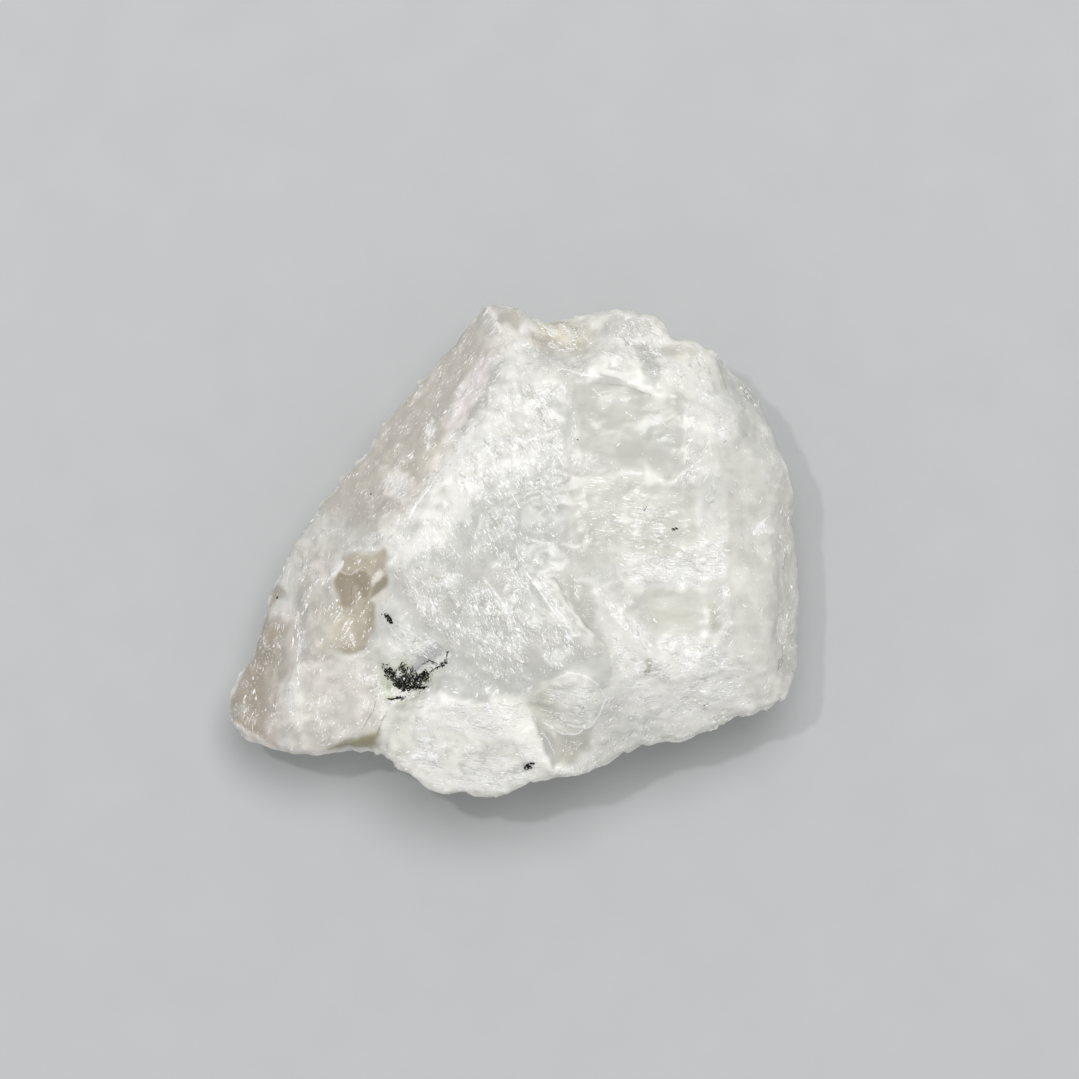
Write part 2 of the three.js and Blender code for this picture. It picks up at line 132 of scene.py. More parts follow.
class Waves:
    """Seeded gradient noise over points in millimetres."""

    CELLS: ClassVar[int] = 256
    ORIGIN: ClassVar[float] = 71.3
    GAIN: ClassVar[float] = 1.7
    BOWL_ORIGIN: ClassVar[float] = 37.7
    BOWL_SCATTER: ClassVar[float] = 0.4
    BOWL_DEPTH: ClassVar[float] = 0.9
    BOWL_TILT: ClassVar[float] = 0.6
    TILT_SHIFT: ClassVar[int] = 91

    def __init__(self, seed: int) -> None:
        """Draws the lattice's directions.

        Args:
            seed: the number that fixes the pattern.
        """
        draw = np.random.default_rng(seed)
        self.order = draw.permutation(self.CELLS)
        directions = draw.normal(size=(self.CELLS, 3))
        self.directions = directions / np.linalg.norm(directions, axis=1)[:, None]

    def at(self, points: np.ndarray, length: float) -> np.ndarray:
        """Noise of one wave length.

        Args:
            points: places in millimetres, one per row.
            length: the wave length in millimetres.

        Returns:
            A value of about -1 to 1 for each place.
        """
        scaled = points / length + self.ORIGIN
        cell = np.floor(scaled).astype(int)
        within = scaled - cell
        ease = within**3 * (within * (within * 6 - 15) + 10)
        total = np.zeros(len(points))
        for corner in np.ndindex(2, 2, 2):
            step = np.array(corner)
            index = self.drawn(cell + step)
            weight = np.prod(np.where(step == 1, ease, 1 - ease), axis=1)
            total += weight * np.einsum("ij,ij->i", self.directions[index], within - step)
        return total * self.GAIN

    def bowls(self, points: np.ndarray, spacing: float) -> np.ndarray:
        """The relief of a face broken into shallow bowls that meet in sharp edges.

        Args:
            points: places in millimetres, one per row.
            spacing: how far apart the bowls lie, in millimetres.

        Returns:
            Heights of about -0.5 to 0.5 for each place.
        """
        scaled = points / spacing + self.BOWL_ORIGIN
        cell = np.floor(scaled).astype(int)
        lowest = np.full(len(points), np.inf)
        for corner in np.ndindex(3, 3, 3):
            near = cell + np.array(corner) - 1
            index = self.drawn(near)
            offset = scaled - near - 0.5 - self.BOWL_SCATTER * self.directions[index]
            tilt = self.directions[(index + self.TILT_SHIFT) & (self.CELLS - 1)]
            height = self.BOWL_DEPTH * np.einsum("ij,ij->i", offset, offset)
            height += self.BOWL_TILT * np.einsum("ij,ij->i", tilt, offset)
            lowest = np.minimum(lowest, height)
        return lowest - lowest.mean()

    def drawn(self, cell: np.ndarray) -> np.ndarray:
        """The number that belongs to each cell of the lattice.

        Args:
            cell: three whole numbers per row.

        Returns:
            A number from 0 to the last cell's for each row.
        """
        last = self.CELLS - 1
        x, y, z = (cell & last).T
        return self.order[(self.order[(self.order[x] + y) & last] + z) & last]

    def cloud(self, points: np.ndarray, length: float, octaves: int) -> np.ndarray:
        """Noise of several wave lengths, each half as long and half as strong as the last."""
        return sum(self.at(points, length / 2**n) * 0.5**n for n in range(octaves))


@dataclass(frozen=True)
class Cloud:
    """Clouded noise. shift is in millimetres and sets its pattern apart from the others."""

    strength: float
    length: float
    octaves: int = 3
    shift: float = 0.0

    def over(self, points: np.ndarray, waves: Waves) -> np.ndarray:
        """The cloud's value at each point."""
        return self.strength * waves.cloud(points + self.shift, self.length, self.octaves)


def depth_inside(outline: Sequence[Point], plan: np.ndarray) -> np.ndarray:
    """How far places lie inside a closed outline.

    Args:
        outline: the corners in order, in millimetres.
        plan: places on the ground plan, one per row.

    Returns:
        The distance to the outline, positive inside and negative outside.
    """
    inside = np.zeros(len(plan), bool)
    nearest = np.full(len(plan), np.inf)
    corners = np.array(outline, float)
    for start, end in zip(corners, np.roll(corners, -1, axis=0)):
        nearest = np.minimum(nearest, distance_to(start, end, plan))
        crosses = (start[1] > plan[:, 1]) != (end[1] > plan[:, 1])
        rise = end[1] - start[1] if end[1] != start[1] else TINY
        inside ^= crosses & (plan[:, 0] < start[0] + (plan[:, 1] - start[1]) * (end[0] - start[0]) / rise)
    return np.where(inside, nearest, -nearest)


def distance_to(start: np.ndarray, end: np.ndarray, plan: np.ndarray) -> np.ndarray:
    """The distance from places to a straight line between two points.

    Args:
        start: the line's first point.
        end: its last point.
        plan: places on the ground plan, one per row.

    Returns:
        A distance for each place.
    """
    along = end - start
    share = np.clip(((plan - start) @ along) / (along @ along), 0.0, 1.0)
    return np.linalg.norm(plan - start - share[:, None] * along, axis=1)


@dataclass
class Skin:
    """What the finish needs to know at each point of the stone's surface."""

    veil: np.ndarray
    frost: np.ndarray
    dark: np.ndarray
    grain: np.ndarray
    turn: np.ndarray
    mottle: np.ndarray
    tint: np.ndarray
    mark: np.ndarray

    @classmethod
    def plain(cls, count: int) -> Skin:
        """An even milky skin.

        Args:
            count: how many points it covers.

        Returns:
            The skin.
        """
        even = {"veil": 0.45, "frost": 0.45, "dark": 0.0, "grain": 0.3, "turn": 60.0, "mottle": 1.0}
        plain = {name: np.full(count, value) for name, value in even.items()}
        return cls(**plain, tint=np.ones((count, 3)), mark=np.tile([HAIR_REACH, 0.0, 0.0], (count, 1)))

    def flow(self, points: np.ndarray) -> np.ndarray:
        """Places measured in flecks, along and across the way that they run.

        Args:
            points: places in millimetres, one per row.

        Returns:
            Three numbers for each place.
        """
        angle = np.radians(self.turn)
        along = points[:, 0] * np.cos(angle) + points[:, 1] * np.sin(angle)
        across = points[:, 1] * np.cos(angle) - points[:, 0] * np.sin(angle)
        length, width = (mix(short, long, self.grain) for short, long in zip(ROUND_FLECK, DRAWN_FLECK))
        return np.stack([along / length, across / width, points[:, 2] / width], axis=1)


@dataclass(frozen=True)
class Look:
    """What a feature does to the skin. None leaves a value as it is.

    veil is how white and closed the body is, and frost how many bright flecks it carries; the flecks are
    white painted glints.
    grain is how long the flecks are drawn out, and turn the way that they run. tint multiplies the body's
    colour, dark brings in black grains, mottle is how uneven the veil is, and lift raises the surface in
    millimetres.
    """

    veil: float | None = None
    frost: float | None = None
    grain: float | None = None
    turn: float | None = None
    tint: Triple | None = None
    dark: float | None = None
    mottle: float | None = None
    lift: float = 0.0

    def paint(self, skin: Skin, share: np.ndarray) -> None:
        """Blends the look into the skin, and turns the flecks where it has most of the say.

        Args:
            skin: the skin to change.
            share: how much of the look each point takes, from 0 to 1.
        """
        for name in ("veil", "frost", "dark", "mottle"):
            value = getattr(self, name)
            if value is not None:
                setattr(skin, name, mix(getattr(skin, name), value, share))
        for name in ("grain", "turn"):
            value = getattr(self, name)
            if value is not None:
                getattr(skin, name)[share > 0.5] = value
        if self.tint is not None:
            skin.tint = mix(skin.tint, np.array(self.tint), share[:, None])


@dataclass(frozen=True)
class Pane:
    """A patch of the face inside an outline, with an edge that fades over soft millimetres."""

    name: str
    outline: tuple[Point, ...]
    look: Look
    soft: float = 0.8
    strength: float = 1.0

    def share(self, plan: np.ndarray) -> np.ndarray:
        """How much each place belongs to the patch."""
        return self.strength * smooth(-self.soft / 2, self.soft / 2, depth_inside(self.outline, plan))


@dataclass(frozen=True)
class Streak:
    """A line of the face, such as a ridge, a rib or a crack."""

    name: str
    route: tuple[Point, ...]
    look: Look
    width: float = 0.5
    strength: float = 1.0

    def share(self, plan: np.ndarray) -> np.ndarray:
        """How much each place belongs to the line.

        Args:
            plan: places on the ground plan, one per row.

        Returns:
            A share for each place, whole within the core of the width.
        """
        corners = np.array(self.route, float)
        nearest = np.min([distance_to(a, b, plan) for a, b in zip(corners, corners[1:])], axis=0)
        return self.strength * (1 - smooth(self.width * STREAK_CORE, self.width, nearest))


@dataclass(frozen=True)
class Spot:
    """An oval patch of the face, with its long axis along turn."""

    name: str
    centre: Point
    radii: Point
    look: Look
    turn: float = 0.0
    strength: float = 1.0

    def share(self, plan: np.ndarray) -> np.ndarray:
        """How much each place belongs to the patch.

        Args:
            plan: places on the ground plan, one per row.

        Returns:
            A share for each place, which fades between the core and the end of the oval.
        """
        angle = math.radians(self.turn)
        offset = plan - np.array(self.centre)
        along = (offset[:, 0] * math.cos(angle) + offset[:, 1] * math.sin(angle)) / self.radii[0]
        across = (offset[:, 1] * math.cos(angle) - offset[:, 0] * math.sin(angle)) / self.radii[1]
        return self.strength * (1 - smooth(SPOT_CORE, SPOT_END, np.hypot(along, across)))


@dataclass(frozen=True)
class Patches:
    """Patches of a look on the sides that are hidden from above, where a cloud rises from start to full."""

    name: str
    look: Look
    cloud: Cloud
    start: float
    full: float
    strength: float = 1.0

    def share(self, points: np.ndarray, waves: Waves, hidden: np.ndarray) -> np.ndarray:
        """How much each point belongs to the patches.

        Args:
            points: places in millimetres, one per row.
            waves: the noise that shapes the cloud.
            hidden: 1 where a point is hidden from above and 0 where it isn't.

        Returns:
            A share for each point.
        """
        return self.strength * hidden * smooth(self.start, self.full, self.cloud.over(points, waves))


class Tone(Enum):
    """Whether a hairline is paler or darker than the stone around it."""

    PALE = 1.0
    DARK = -1.0


@dataclass(frozen=True)
class Hairline:
    """A line that is thinner than the mesh is fine, such as a crack or a flake's rim. Pale lines are drawn
    in the white of the painted glints, and some dark lines, such as the shadow beside the rib, are painted
    shadow.
    """

    name: str
    tone: Tone
    route: tuple[Point, ...]
    half_width: float = 0.07
    strength: float = 1.0

    def draw(self, skin: Skin, plan: np.ndarray, face_on: np.ndarray) -> None:
        """Stores where the line runs: how far each point lies to its left, its strength and its tone.

        Args:
            skin: the skin to change.
            plan: places on the ground plan, one per row.
            face_on: 1 where the surface belongs to the face and 0 where it is hidden.
        """
        corners = np.array(self.route, float)
        nearest = np.full(len(plan), np.inf)
        side = np.ones(len(plan))
        for start, end in zip(corners, corners[1:]):
            away = distance_to(start, end, plan)
            along, offset = end - start, plan - start
            left = along[0] * offset[:, 1] - along[1] * offset[:, 0]
            closer = away < nearest
            side[closer] = np.where(left >= 0, 1.0, -1.0)[closer]
            nearest = np.minimum(nearest, away)
        reach = self.strength * (1 - smooth(HAIR_CORE, HAIR_REACH, nearest)) * face_on
        stronger = reach > skin.mark[:, 1]
        tone = np.full(len(plan), self.tone.value)
        skin.mark[stronger] = np.stack([side * nearest / self.half_width, reach, tone], axis=1)[stronger]


@dataclass(frozen=True)
class Sparks:
    """A group of places where bright chips of one length crowd and point along turn."""

    name: str
    places: tuple[Point, ...]
    turn: float
    length: float = 0.36


FACE: tuple[Pane | Streak | Spot, ...] = (
    Pane("frosted middle", ((-11, -2), (-8, 4), (-4, 10), (0, 15), (4, 15), (5, 6), (4, -1), (8, -9),
        (0, -12), (-6, -9)), Look(veil=0.12, frost=0.55, grain=0.15, turn=-60, mottle=0.8), 3),
    Pane("grey middle", ((-1.2, 6.4), (4.2, 6.6), (4.6, -0.8), (1.4, -2.4), (-1.8, -0.8)),
        Look(veil=-0.12, frost=0.4, tint=(0.955, 0.96, 0.965)), 1.6, 0.9),
    Pane("white upper middle", ((-1.2, 17.6), (3.7, 17.1), (4, 8.9), (0.5, 5.4), (-7.4, 2.7), (-10, -0.8),
        (-10.7, 1.8), (-7.4, 7.1), (-3.9, 12.4)), Look(veil=0.52, frost=0.6, mottle=2.6), 3, 0.9),
    Pane("white shoulder", ((-3.5, 12.9), (-1.2, 10.1), (-3.5, 3.6), (-6.5, -0.4), (-10, -1.3),
        (-10.9, 1.3), (-7.9, 6.1)), Look(veil=0.8, frost=0.64, mottle=2.4), 1.6, 0.85),
    Pane("mottled lower middle", ((-10, -0.8), (-3.9, 0.3), (1.4, -2.5), (0.5, -8.7), (-5.4, -8.7),
        (-9.1, -5.2)), Look(veil=0.22, frost=0.5), 2.5, 0.9),
    Pane("crest of the lower middle", ((-2.8, -2.2), (-0.8, -4.3), (1.2, -7.6), (0.5, -9.6), (-3.9, -9.1),
        (-5.2, -6.2), (-4, -3.9)), Look(veil=0.3, frost=0.95), 0.8, 0.9),
    Pane("left of the lower middle", ((-9.6, -1.3), (-6.5, -0.4), (-5.4, -2.5), (-6.5, -5.4),
        (-8.4, -6.6), (-9.6, -4.3)), Look(veil=0.35, frost=0.85), 1.6, 0.9),
    # Painted reflected light: the warm tint of this flank stands for warm light reflected onto it.
    Pane("upper left flank", ((-3.2, 21.6), (-0.8, 18.4), (-3.4, 13.6), (-5.6, 9.2), (-9.6, 3.4),
        (-13, 1.6), (-18, 4), (-13, 10), (-9, 16)),
        Look(veil=0.2, frost=0.36, grain=0.2, turn=60, tint=(0.985, 0.925, 0.875), mottle=1.6), 3),
    Pane("tip", ((-3.4, 22.2), (1.2, 22.2), (1.1, 18.9), (-0.8, 17.5), (-3, 18.1)),
        Look(veil=0.3, frost=0.55, grain=0.3, turn=60, tint=(0.97, 0.945, 0.93), mottle=1.6), 1),
    Spot("clear pane in the tip", (-0.4, 20.3), (1.2, 0.9),
        Look(veil=0, frost=-0.3, tint=(0.95, 0.91, 0.86)), -40),
    Streak("white wisps right of the tip", ((-0.5, 19.4), (0.2, 17.5), (0.5, 16.2)),
        Look(veil=0.8, frost=1, grain=0.3, turn=-52), 0.9, 0.8),
    Spot("lilac patch right of the tip", (1.1, 19.6), (0.8, 0.7),
        Look(veil=0.65, frost=0.4, tint=(1, 0.97, 1)), 30),
    Spot("pale foot of the upper left flank", (-9.8, 5.6), (2.1, 1.5),
        Look(veil=0.75, frost=0.85, tint=(0.99, 0.965, 0.95), mottle=2), -40, 0.85),
    Streak("frost along the left ridge", ((-1.2, 17.6), (-2.6, 13.4), (-4.6, 10.4), (-6.8, 6.4),
        (-9.3, 2.7), (-11.1, -0.8)), Look(veil=0.66, frost=0.74, grain=0.15, turn=45, mottle=2.4), 1.9,
        0.8),
    Pane("pink sheen on the ridge", ((-2.2, 17.3), (-1.8, 16.8), (-2.6, 15.2), (-3.2, 13.8), (-4.2, 12.2),
        (-5.6, 10.8), (-6.1, 11.1), (-5.6, 12.5), (-4.7, 13.8), (-3.9, 15.2), (-3, 16.6)),
        Look(veil=0.6, frost=0.9, tint=(1.02, 0.955, 0.99), mottle=2.4), 0.8),
    Streak("warm shade under the pink sheen", ((-1.4, 15.7), (-2.6, 13.2), (-4, 11.1), (-5.4, 9.2)),
        Look(veil=0.1, tint=(0.97, 0.93, 0.92)), 0.6, 0.6),
    Streak("white line under the tip", ((-2.2, 22.2), (-1.9, 21), (-1.2, 19.4), (-0.6, 18.2)),
        Look(veil=0.85, frost=1.1), 0.4, 0.8),
    Streak("pale sliver under the pink sheen", ((-7, 11.4), (-7.5, 10.3)),
        Look(veil=0.9, frost=1.2, tint=(1.02, 0.98, 0.93)), 0.35),
    Spot("white knot on the ridge", (-1.8, 9.6), (1.1, 0.9),
        Look(veil=0.7, frost=0.95, tint=(0.99, 1.005, 1)), 20, 0.85),
    Spot("second white knot on the ridge", (-5.4, 9.6), (1, 0.5), Look(veil=0.6, frost=1), 35, 0.8),
    Pane("left slope", ((-19.5, 1), (-15.2, 1), (-15.6, -9), (-16.2, -18), (-20, -18), (-19.2, -8)),
        Look(veil=0.4, frost=0.42, grain=0.2, turn=80, tint=(0.975, 0.94, 0.92), mottle=2.2), 2),
    Pane("far left flank", ((-19.6, -6), (-22.4, -6), (-26, -13), (-25, -17), (-21.4, -18),
        (-20.2, -13.1)),
        Look(veil=0.1, frost=0.3, grain=0.2, turn=80, tint=(0.765, 0.665, 0.59), mottle=2.8), 2.6),
    Spot("smoky rim over the left corner", (-21, -3.7), (0.7, 1.3),
        Look(veil=0, frost=0.3, tint=(0.86, 0.81, 0.76)), 65, 0.85),
    Spot("first smoky patch on the left", (-20.5, -7.8), (0.7, 0.6),
        Look(veil=0, frost=0.3, tint=(0.86, 0.82, 0.79)), 70, 0.85),
    Spot("second smoky patch on the left", (-22.1, -8.9), (0.8, 1.8),
        Look(veil=0, frost=0.5, tint=(0.7, 0.62, 0.56), mottle=2.4), -10, 0.75),
    Pane("pale foot of the far left flank", ((-21.8, -10.1), (-20.6, -9.7), (-19.9, -11.7), (-20, -14.1),
        (-20.5, -16.1), (-21.9, -16.4), (-22.3, -14.5), (-21.8, -12.5)),
        Look(veil=0.25, frost=0.5, tint=(0.925, 0.86, 0.8), mottle=3), 1.6, 0.8),
    Streak("smoky rim of the left flank", ((-21.1, -3.8), (-21.8, -4.8), (-22.4, -6.6), (-23.2, -8.3),
        (-23.9, -9.9)), Look(veil=0, frost=0.4, tint=(0.74, 0.66, 0.58), mottle=2.4), 0.8, 0.75),
    Spot("third smoky patch on the left", (-18, -9.2), (0.6, 1.1),
        Look(veil=0, frost=0.3, tint=(0.87, 0.83, 0.8)), 75, 0.85),
    Spot("smoky left corner", (-24.3, -14.1), (0.7, 1.2),
        Look(veil=0.05, frost=0.4, tint=(0.92, 0.875, 0.83)), -70, 0.8),
    Spot("lilac pane on the left", (-19.7, -5.3), (0.8, 0.7),
        Look(veil=0.6, frost=0.5, tint=(1, 0.965, 0.98)), 60, 0.9),
    Pane("pale column on the left", ((-20.5, -11.7), (-19.6, -10.9), (-18.3, -12), (-18.4, -14.3),
        (-18.9, -15.5), (-20.3, -14.6)),
        Look(veil=0.9, frost=0.9, grain=0.3, turn=80, tint=(1, 0.985, 0.98), mottle=1.6), 1.4, 0.85),
    Streak("upper left ridge", ((-14.8, -0.6), (-15.4, -1.8), (-16.3, -2.5), (-17.3, -2.6), (-17.8, -3.2),
        (-18.1, -4.1), (-18.4, -5.2)), Look(veil=0.5, frost=1, grain=0.15, turn=60), 0.75, 0.8),
    Streak("lower left ridge", ((-18.9, -5.4), (-19.1, -6.6), (-18.8, -7.8), (-18.9, -9.6), (-19, -11.5)),
        Look(veil=0.62, frost=1.05, grain=0.2, turn=80), 0.75, 0.85),
    Streak("foot of the left ridge", ((-18.8, -13), (-18.5, -14.1), (-18.9, -15.3)),
        Look(veil=0.85, frost=0.8), 0.4, 0.85),
    Streak("pale line inside the left corner", ((-24.4, -15.4), (-22.7, -16.3), (-21.1, -17.5)),
        Look(veil=0.75, frost=0.6, tint=(1, 0.97, 0.93)), 0.45, 0.8),
    # Painted shade: the underside below the rim of the left corner, darkened and warmed.
    Streak("warm painted shade under the rim of the left corner", ((-23.9, -16.4), (-22.6, -17.2), (-21.8, -17.6)),
        Look(veil=0, frost=0, tint=(0.86, 0.8, 0.73)), 0.45, 0.8),
    Pane("lower left plate", ((-18.4, -9.4), (-11.4, -9.8), (-10.8, -13.4), (-12.2, -16.8),
        (-18.8, -17.5)),
        Look(veil=0.42, frost=0.4, grain=0.2, turn=70, tint=(0.99, 0.96, 0.94), mottle=2), 2.6),
    Pane("pale middle of the brown window", ((-17.7, -4.3), (-14.8, -3.9), (-12.5, -4.3), (-12.5, -6.9),
        (-14.2, -9.1), (-16.8, -8.7)),
        Look(veil=0.3, frost=0.25, grain=0.15, turn=60, tint=(0.945, 0.905, 0.845), mottle=1.8), 1.8),
    Pane("brown window", ((-15, -1.3), (-14.8, -0.5), (-14.2, -0.2), (-12.5, -0.4), (-11.1, 0.1),
        (-11, -1.3), (-11.2, -2.3), (-11.4, -3.3), (-12.2, -4.1), (-11.8, -4.8), (-11.8, -5.5),
        (-12.1, -6.7), (-12.8, -7.5), (-13.2, -8.5), (-14.2, -8.9), (-15.1, -8.8), (-14.7, -7.5),
        (-14.7, -6.1), (-15.4, -4.8), (-15.4, -2.9)),
        Look(veil=0.05, frost=0.3, grain=0.15, turn=60, tint=(0.876, 0.785, 0.667), mottle=3, lift=-0.08),
        0.8),
    Pane("dark heart of the brown window", ((-15.4, -1.9), (-15, -1.8), (-14.6, -2.2), (-14.4, -2.2),
        (-13.8, -1.8), (-13.3, -1.7), (-12.8, -1.9), (-12.5, -2.5), (-12.5, -3.4), (-12.7, -4),
        (-13.2, -4.1), (-13.4, -3.4), (-13.8, -3.5), (-14, -4.1), (-14.2, -4.8), (-15.3, -4.9),
        (-15.4, -3.4)), Look(veil=0, frost=0, tint=(0.63, 0.54, 0.44), mottle=1.6, lift=-0.08), 0.35,
        0.95),
    Streak("arc in the dark heart", ((-14.1, -4.6), (-14, -3.2), (-13.8, -3)),
        Look(veil=0.15, tint=(0.8, 0.72, 0.62)), 0.3, 0.8),
    Streak("dark hook in the dark heart", ((-13.6, -2.5), (-13.2, -3.1), (-13.2, -4)),
        Look(tint=(0.54, 0.47, 0.37)), 0.3, 0.8),
    Pane("pale notch of the brown window", ((-12.5, -2.1), (-11.9, -1.4), (-11.4, -1.6), (-11.4, -2.1),
        (-12, -2.5), (-12.2, -3.1), (-12.5, -2.7)), Look(veil=0.7, frost=0.8, tint=(0.985, 0.945, 0.9)),
        0.4, 0.9),
    Pane("white chip by the brown window", ((-15.4, -1.1), (-15, -0.8), (-14.7, -1.1), (-14.9, -1.8),
        (-15.4, -2.3), (-15.6, -1.8)), Look(veil=1, frost=1, tint=(1.02, 1, 0.97)), 0.35),
    Pane("dark flank of the brown window", ((-12.2, -2.7), (-11.8, -2.4), (-11.2, -2.3), (-11.4, -3.2),
        (-11.8, -3.7), (-12.3, -4.1), (-12.3, -3.4)), Look(veil=0, frost=0, tint=(0.66, 0.58, 0.47)),
        0.3),
    Pane("cream patch below the dark flank", ((-11.3, -3.4), (-11.8, -3.9), (-12.2, -4.3), (-11.7, -4.8),
        (-11.1, -4.8), (-10.8, -3.8)), Look(veil=0.55, frost=0.5, tint=(0.97, 0.95, 0.89)), 0.7, 0.9),
    Pane("olive strip of the brown window", ((-13.2, -4.6), (-12.5, -4.3), (-11.9, -4.8), (-11.8, -5.5),
        (-12.1, -6.5), (-12.6, -6.9), (-13.1, -6.9), (-13.2, -5.9)),
        Look(veil=0.05, frost=0.5, tint=(0.76, 0.69, 0.55), mottle=3), 0.6, 0.8),
    Pane("pale lower left of the brown window", ((-15.3, -5.4), (-13.9, -4.8), (-13, -5.4), (-12.8, -6.6),
        (-13.3, -7.8), (-14.4, -8.9), (-15.4, -8.7), (-16, -6.9)),
        Look(veil=0.36, frost=0.6, grain=0.15, turn=60, tint=(0.87, 0.805, 0.7), mottle=3), 1.6, 0.75),
    Pane("brown foot of the brown window", ((-14.2, -7.5), (-13.4, -7.1), (-12.8, -7.5), (-13.1, -8.4),
        (-14.2, -8.9), (-15.1, -8.7), (-14.9, -8)),
        Look(veil=0.05, frost=0.4, tint=(0.8, 0.71, 0.6), mottle=2.6), 0.6, 0.75),
    Streak("dark lower edge of the brown window", ((-12.9, -8.3), (-13.9, -8.8), (-14.9, -8.8)),
        Look(veil=0, frost=0.4, tint=(0.7, 0.62, 0.5)), 0.35, 0.7),
    Streak("sill of the brown window", ((-11.6, -7.6), (-12.8, -9.2), (-14.2, -9.5), (-15.8, -9.2)),
        Look(veil=0.7, frost=0.7, tint=(1, 0.985, 0.96)), 0.3, 0.4),
    # Partly the stone's olive-green tint, partly painted shadow under the ledge of the lower left plate.
    Pane("green band and painted shadow under the lower left plate", ((-14.9, -16.5), (-13.5, -16.1), (-11.8, -15.8),
        (-11.8, -17), (-13.3, -17.1), (-16.1, -17.6)),
        Look(veil=0, frost=0, grain=0.3, turn=-5, tint=(0.585, 0.525, 0.34)), 0.7),
    Pane("cleavage window", ((5.6, 14.3), (7.2, 14.6), (9.7, 14.3), (11.9, 13.8), (14.6, 13.1),
        (14.7, 7.1), (13.5, 5.9), (11.1, 6.9), (8.4, 8.2), (5.8, 8.5)),
        Look(veil=0.22, frost=-0.12, grain=0.5, turn=-5, tint=(0.985, 0.985, 0.965), lift=-0.08), 0.6),
    Spot("smoky patch in the cleavage window", (12.4, 9.7), (1.5, 1.9),
        Look(veil=0.14, tint=(0.98, 0.985, 0.975)), 20, 0.8),
    Spot("clear right of the cleavage window", (12.6, 11.8), (2.1, 1),
        Look(veil=0.2, frost=0, mottle=0.5), -5, 0.75),
    Spot("milky low middle of the cleavage window", (8.4, 9.2), (1.9, 1), Look(veil=0.42, mottle=0.7), 5,
        0.7),
    Pane("white wedge over the cleavage window", ((6.5, 15.9), (7.9, 15.8), (9.3, 15.4), (10.4, 15),
        (11.1, 14.5), (12.1, 13.9), (13.2, 13.3), (11.9, 13.6), (10.5, 14.3), (9.3, 14.8), (8.1, 15.3),
        (6.8, 15.5)), Look(veil=1.15, frost=1, grain=0.1, tint=(1.03, 1.03, 1.03), mottle=1.5), 0.35),
    Pane("white smear right of the wedge", ((12.4, 15.5), (13.4, 15.5), (13.6, 14.5), (13.2, 13.5),
        (12.6, 14.3)), Look(veil=0.85, frost=0.8, grain=0.1), 0.6, 0.8),
    Pane("top band", ((5, 16.6), (7.6, 16.6), (11.6, 15), (15, 13.4), (18, 14), (17, 18), (12, 21.5),
        (6.5, 21.5)), Look(veil=0.8, frost=0.62, grain=0.1, turn=-52, tint=(1, 1, 0.99), mottle=2.2),
        1.4),
    Pane("grey shard in the top band", ((10.4, 17.8), (11.6, 18.1), (12.3, 16.6), (12.8, 15),
        (12.5, 14.1), (11.8, 14.6), (11.1, 15.5), (10.8, 16.6)),
        Look(veil=0.2, frost=0.3, tint=(0.975, 0.98, 0.975)), 0.6, 0.75),
    Pane("lilac pane in the top band", ((7.5, 20.1), (9.5, 20.6), (11.1, 20.4), (11.6, 18.9), (9.8, 18.2),
        (7.9, 18.7)), Look(veil=0.25, frost=0.55, tint=(0.985, 0.975, 0.975)), 1, 0.8),
    Pane("grey facet inside the upper right rim", ((17.4, 17.5), (18.8, 16.1), (20.5, 13.4), (21.9, 10.6),
        (22.5, 7.1), (20.9, 7.1), (19.6, 11.3), (18.2, 14.5)),
        Look(veil=0.35, frost=0.1, tint=(0.985, 0.985, 0.975)), 1, 0.8),
    Spot("frost over the wedge", (8.8, 17.1), (1.5, 0.9), Look(veil=0.75, frost=0.95), -20, 0.8),
    Spot("scoop in the top edge", (4.2, 18.7), (3.3, 2.1),
        Look(veil=0.45, frost=0.85, grain=0.3, turn=-35, tint=(0.94, 0.895, 0.8), mottle=3)),
    Spot("clear upper part of the scoop", (4.7, 19.6), (1.6, 0.5),
        Look(veil=0, frost=0.5, tint=(0.94, 0.905, 0.83)), -5, 0.8),
    Spot("clear left of the scoop", (2.4, 18.5), (0.8, 1.6),
        Look(veil=0.1, frost=0.4, tint=(0.95, 0.9, 0.84)), 70, 0.7),
    Spot("stained corner of the top band", (14.6, 17.4), (1.9, 0.9),
        Look(veil=0.3, frost=0.6, grain=0.3, turn=-5, tint=(0.965, 0.945, 0.885), mottle=2), -8, 0.8),
    Spot("curls under the stained corner", (14.6, 16.9), (1.1, 0.4), Look(veil=0.6, frost=1.2), 8, 0.9),
    Streak("pale arc under the cleavage window", ((2.7, 6), (4.5, 7.7), (6.7, 8.7), (9.3, 7.6),
        (11.4, 6.6), (13.9, 5.9)), Look(veil=0.55, frost=0.8), 0.6, 0.5),
    Streak("pale column left of the fibrous plane", ((3.7, 7.1), (3.7, 2.7), (4, -1.7)),
        Look(veil=0.5, frost=0.4), 1, 0.5),
    Pane("fibrous plane", ((5.2, 6.4), (10, 6.8), (15.4, 4.9), (16.4, -0.6), (9, -0.8), (5.6, -1.4)),
        Look(veil=0.36, frost=0.42, grain=0.55, turn=-5, tint=(0.995, 0.985, 0.95), mottle=0.7), 1.4),
    Pane("white fibrous band", ((8.6, 0.4), (13, 0), (18.6, 2.6), (18.8, -2.6), (16, -3.4), (9.4, -3.2)),
        Look(veil=0.7, frost=0.95, grain=0.6, turn=-5), 1.8, 0.85),
    Pane("still pane", ((11.2, -3.6), (16.4, -3.3), (16.2, -7), (12.4, -7.2)),
        Look(veil=0.38, frost=-0.1, grain=0.7, turn=-5, tint=(0.995, 0.985, 0.94), mottle=0.3), 0.8),
    Streak("edge between the fibres and the right panel", ((16, 5), (16.3, -1), (16.6, -3.8),
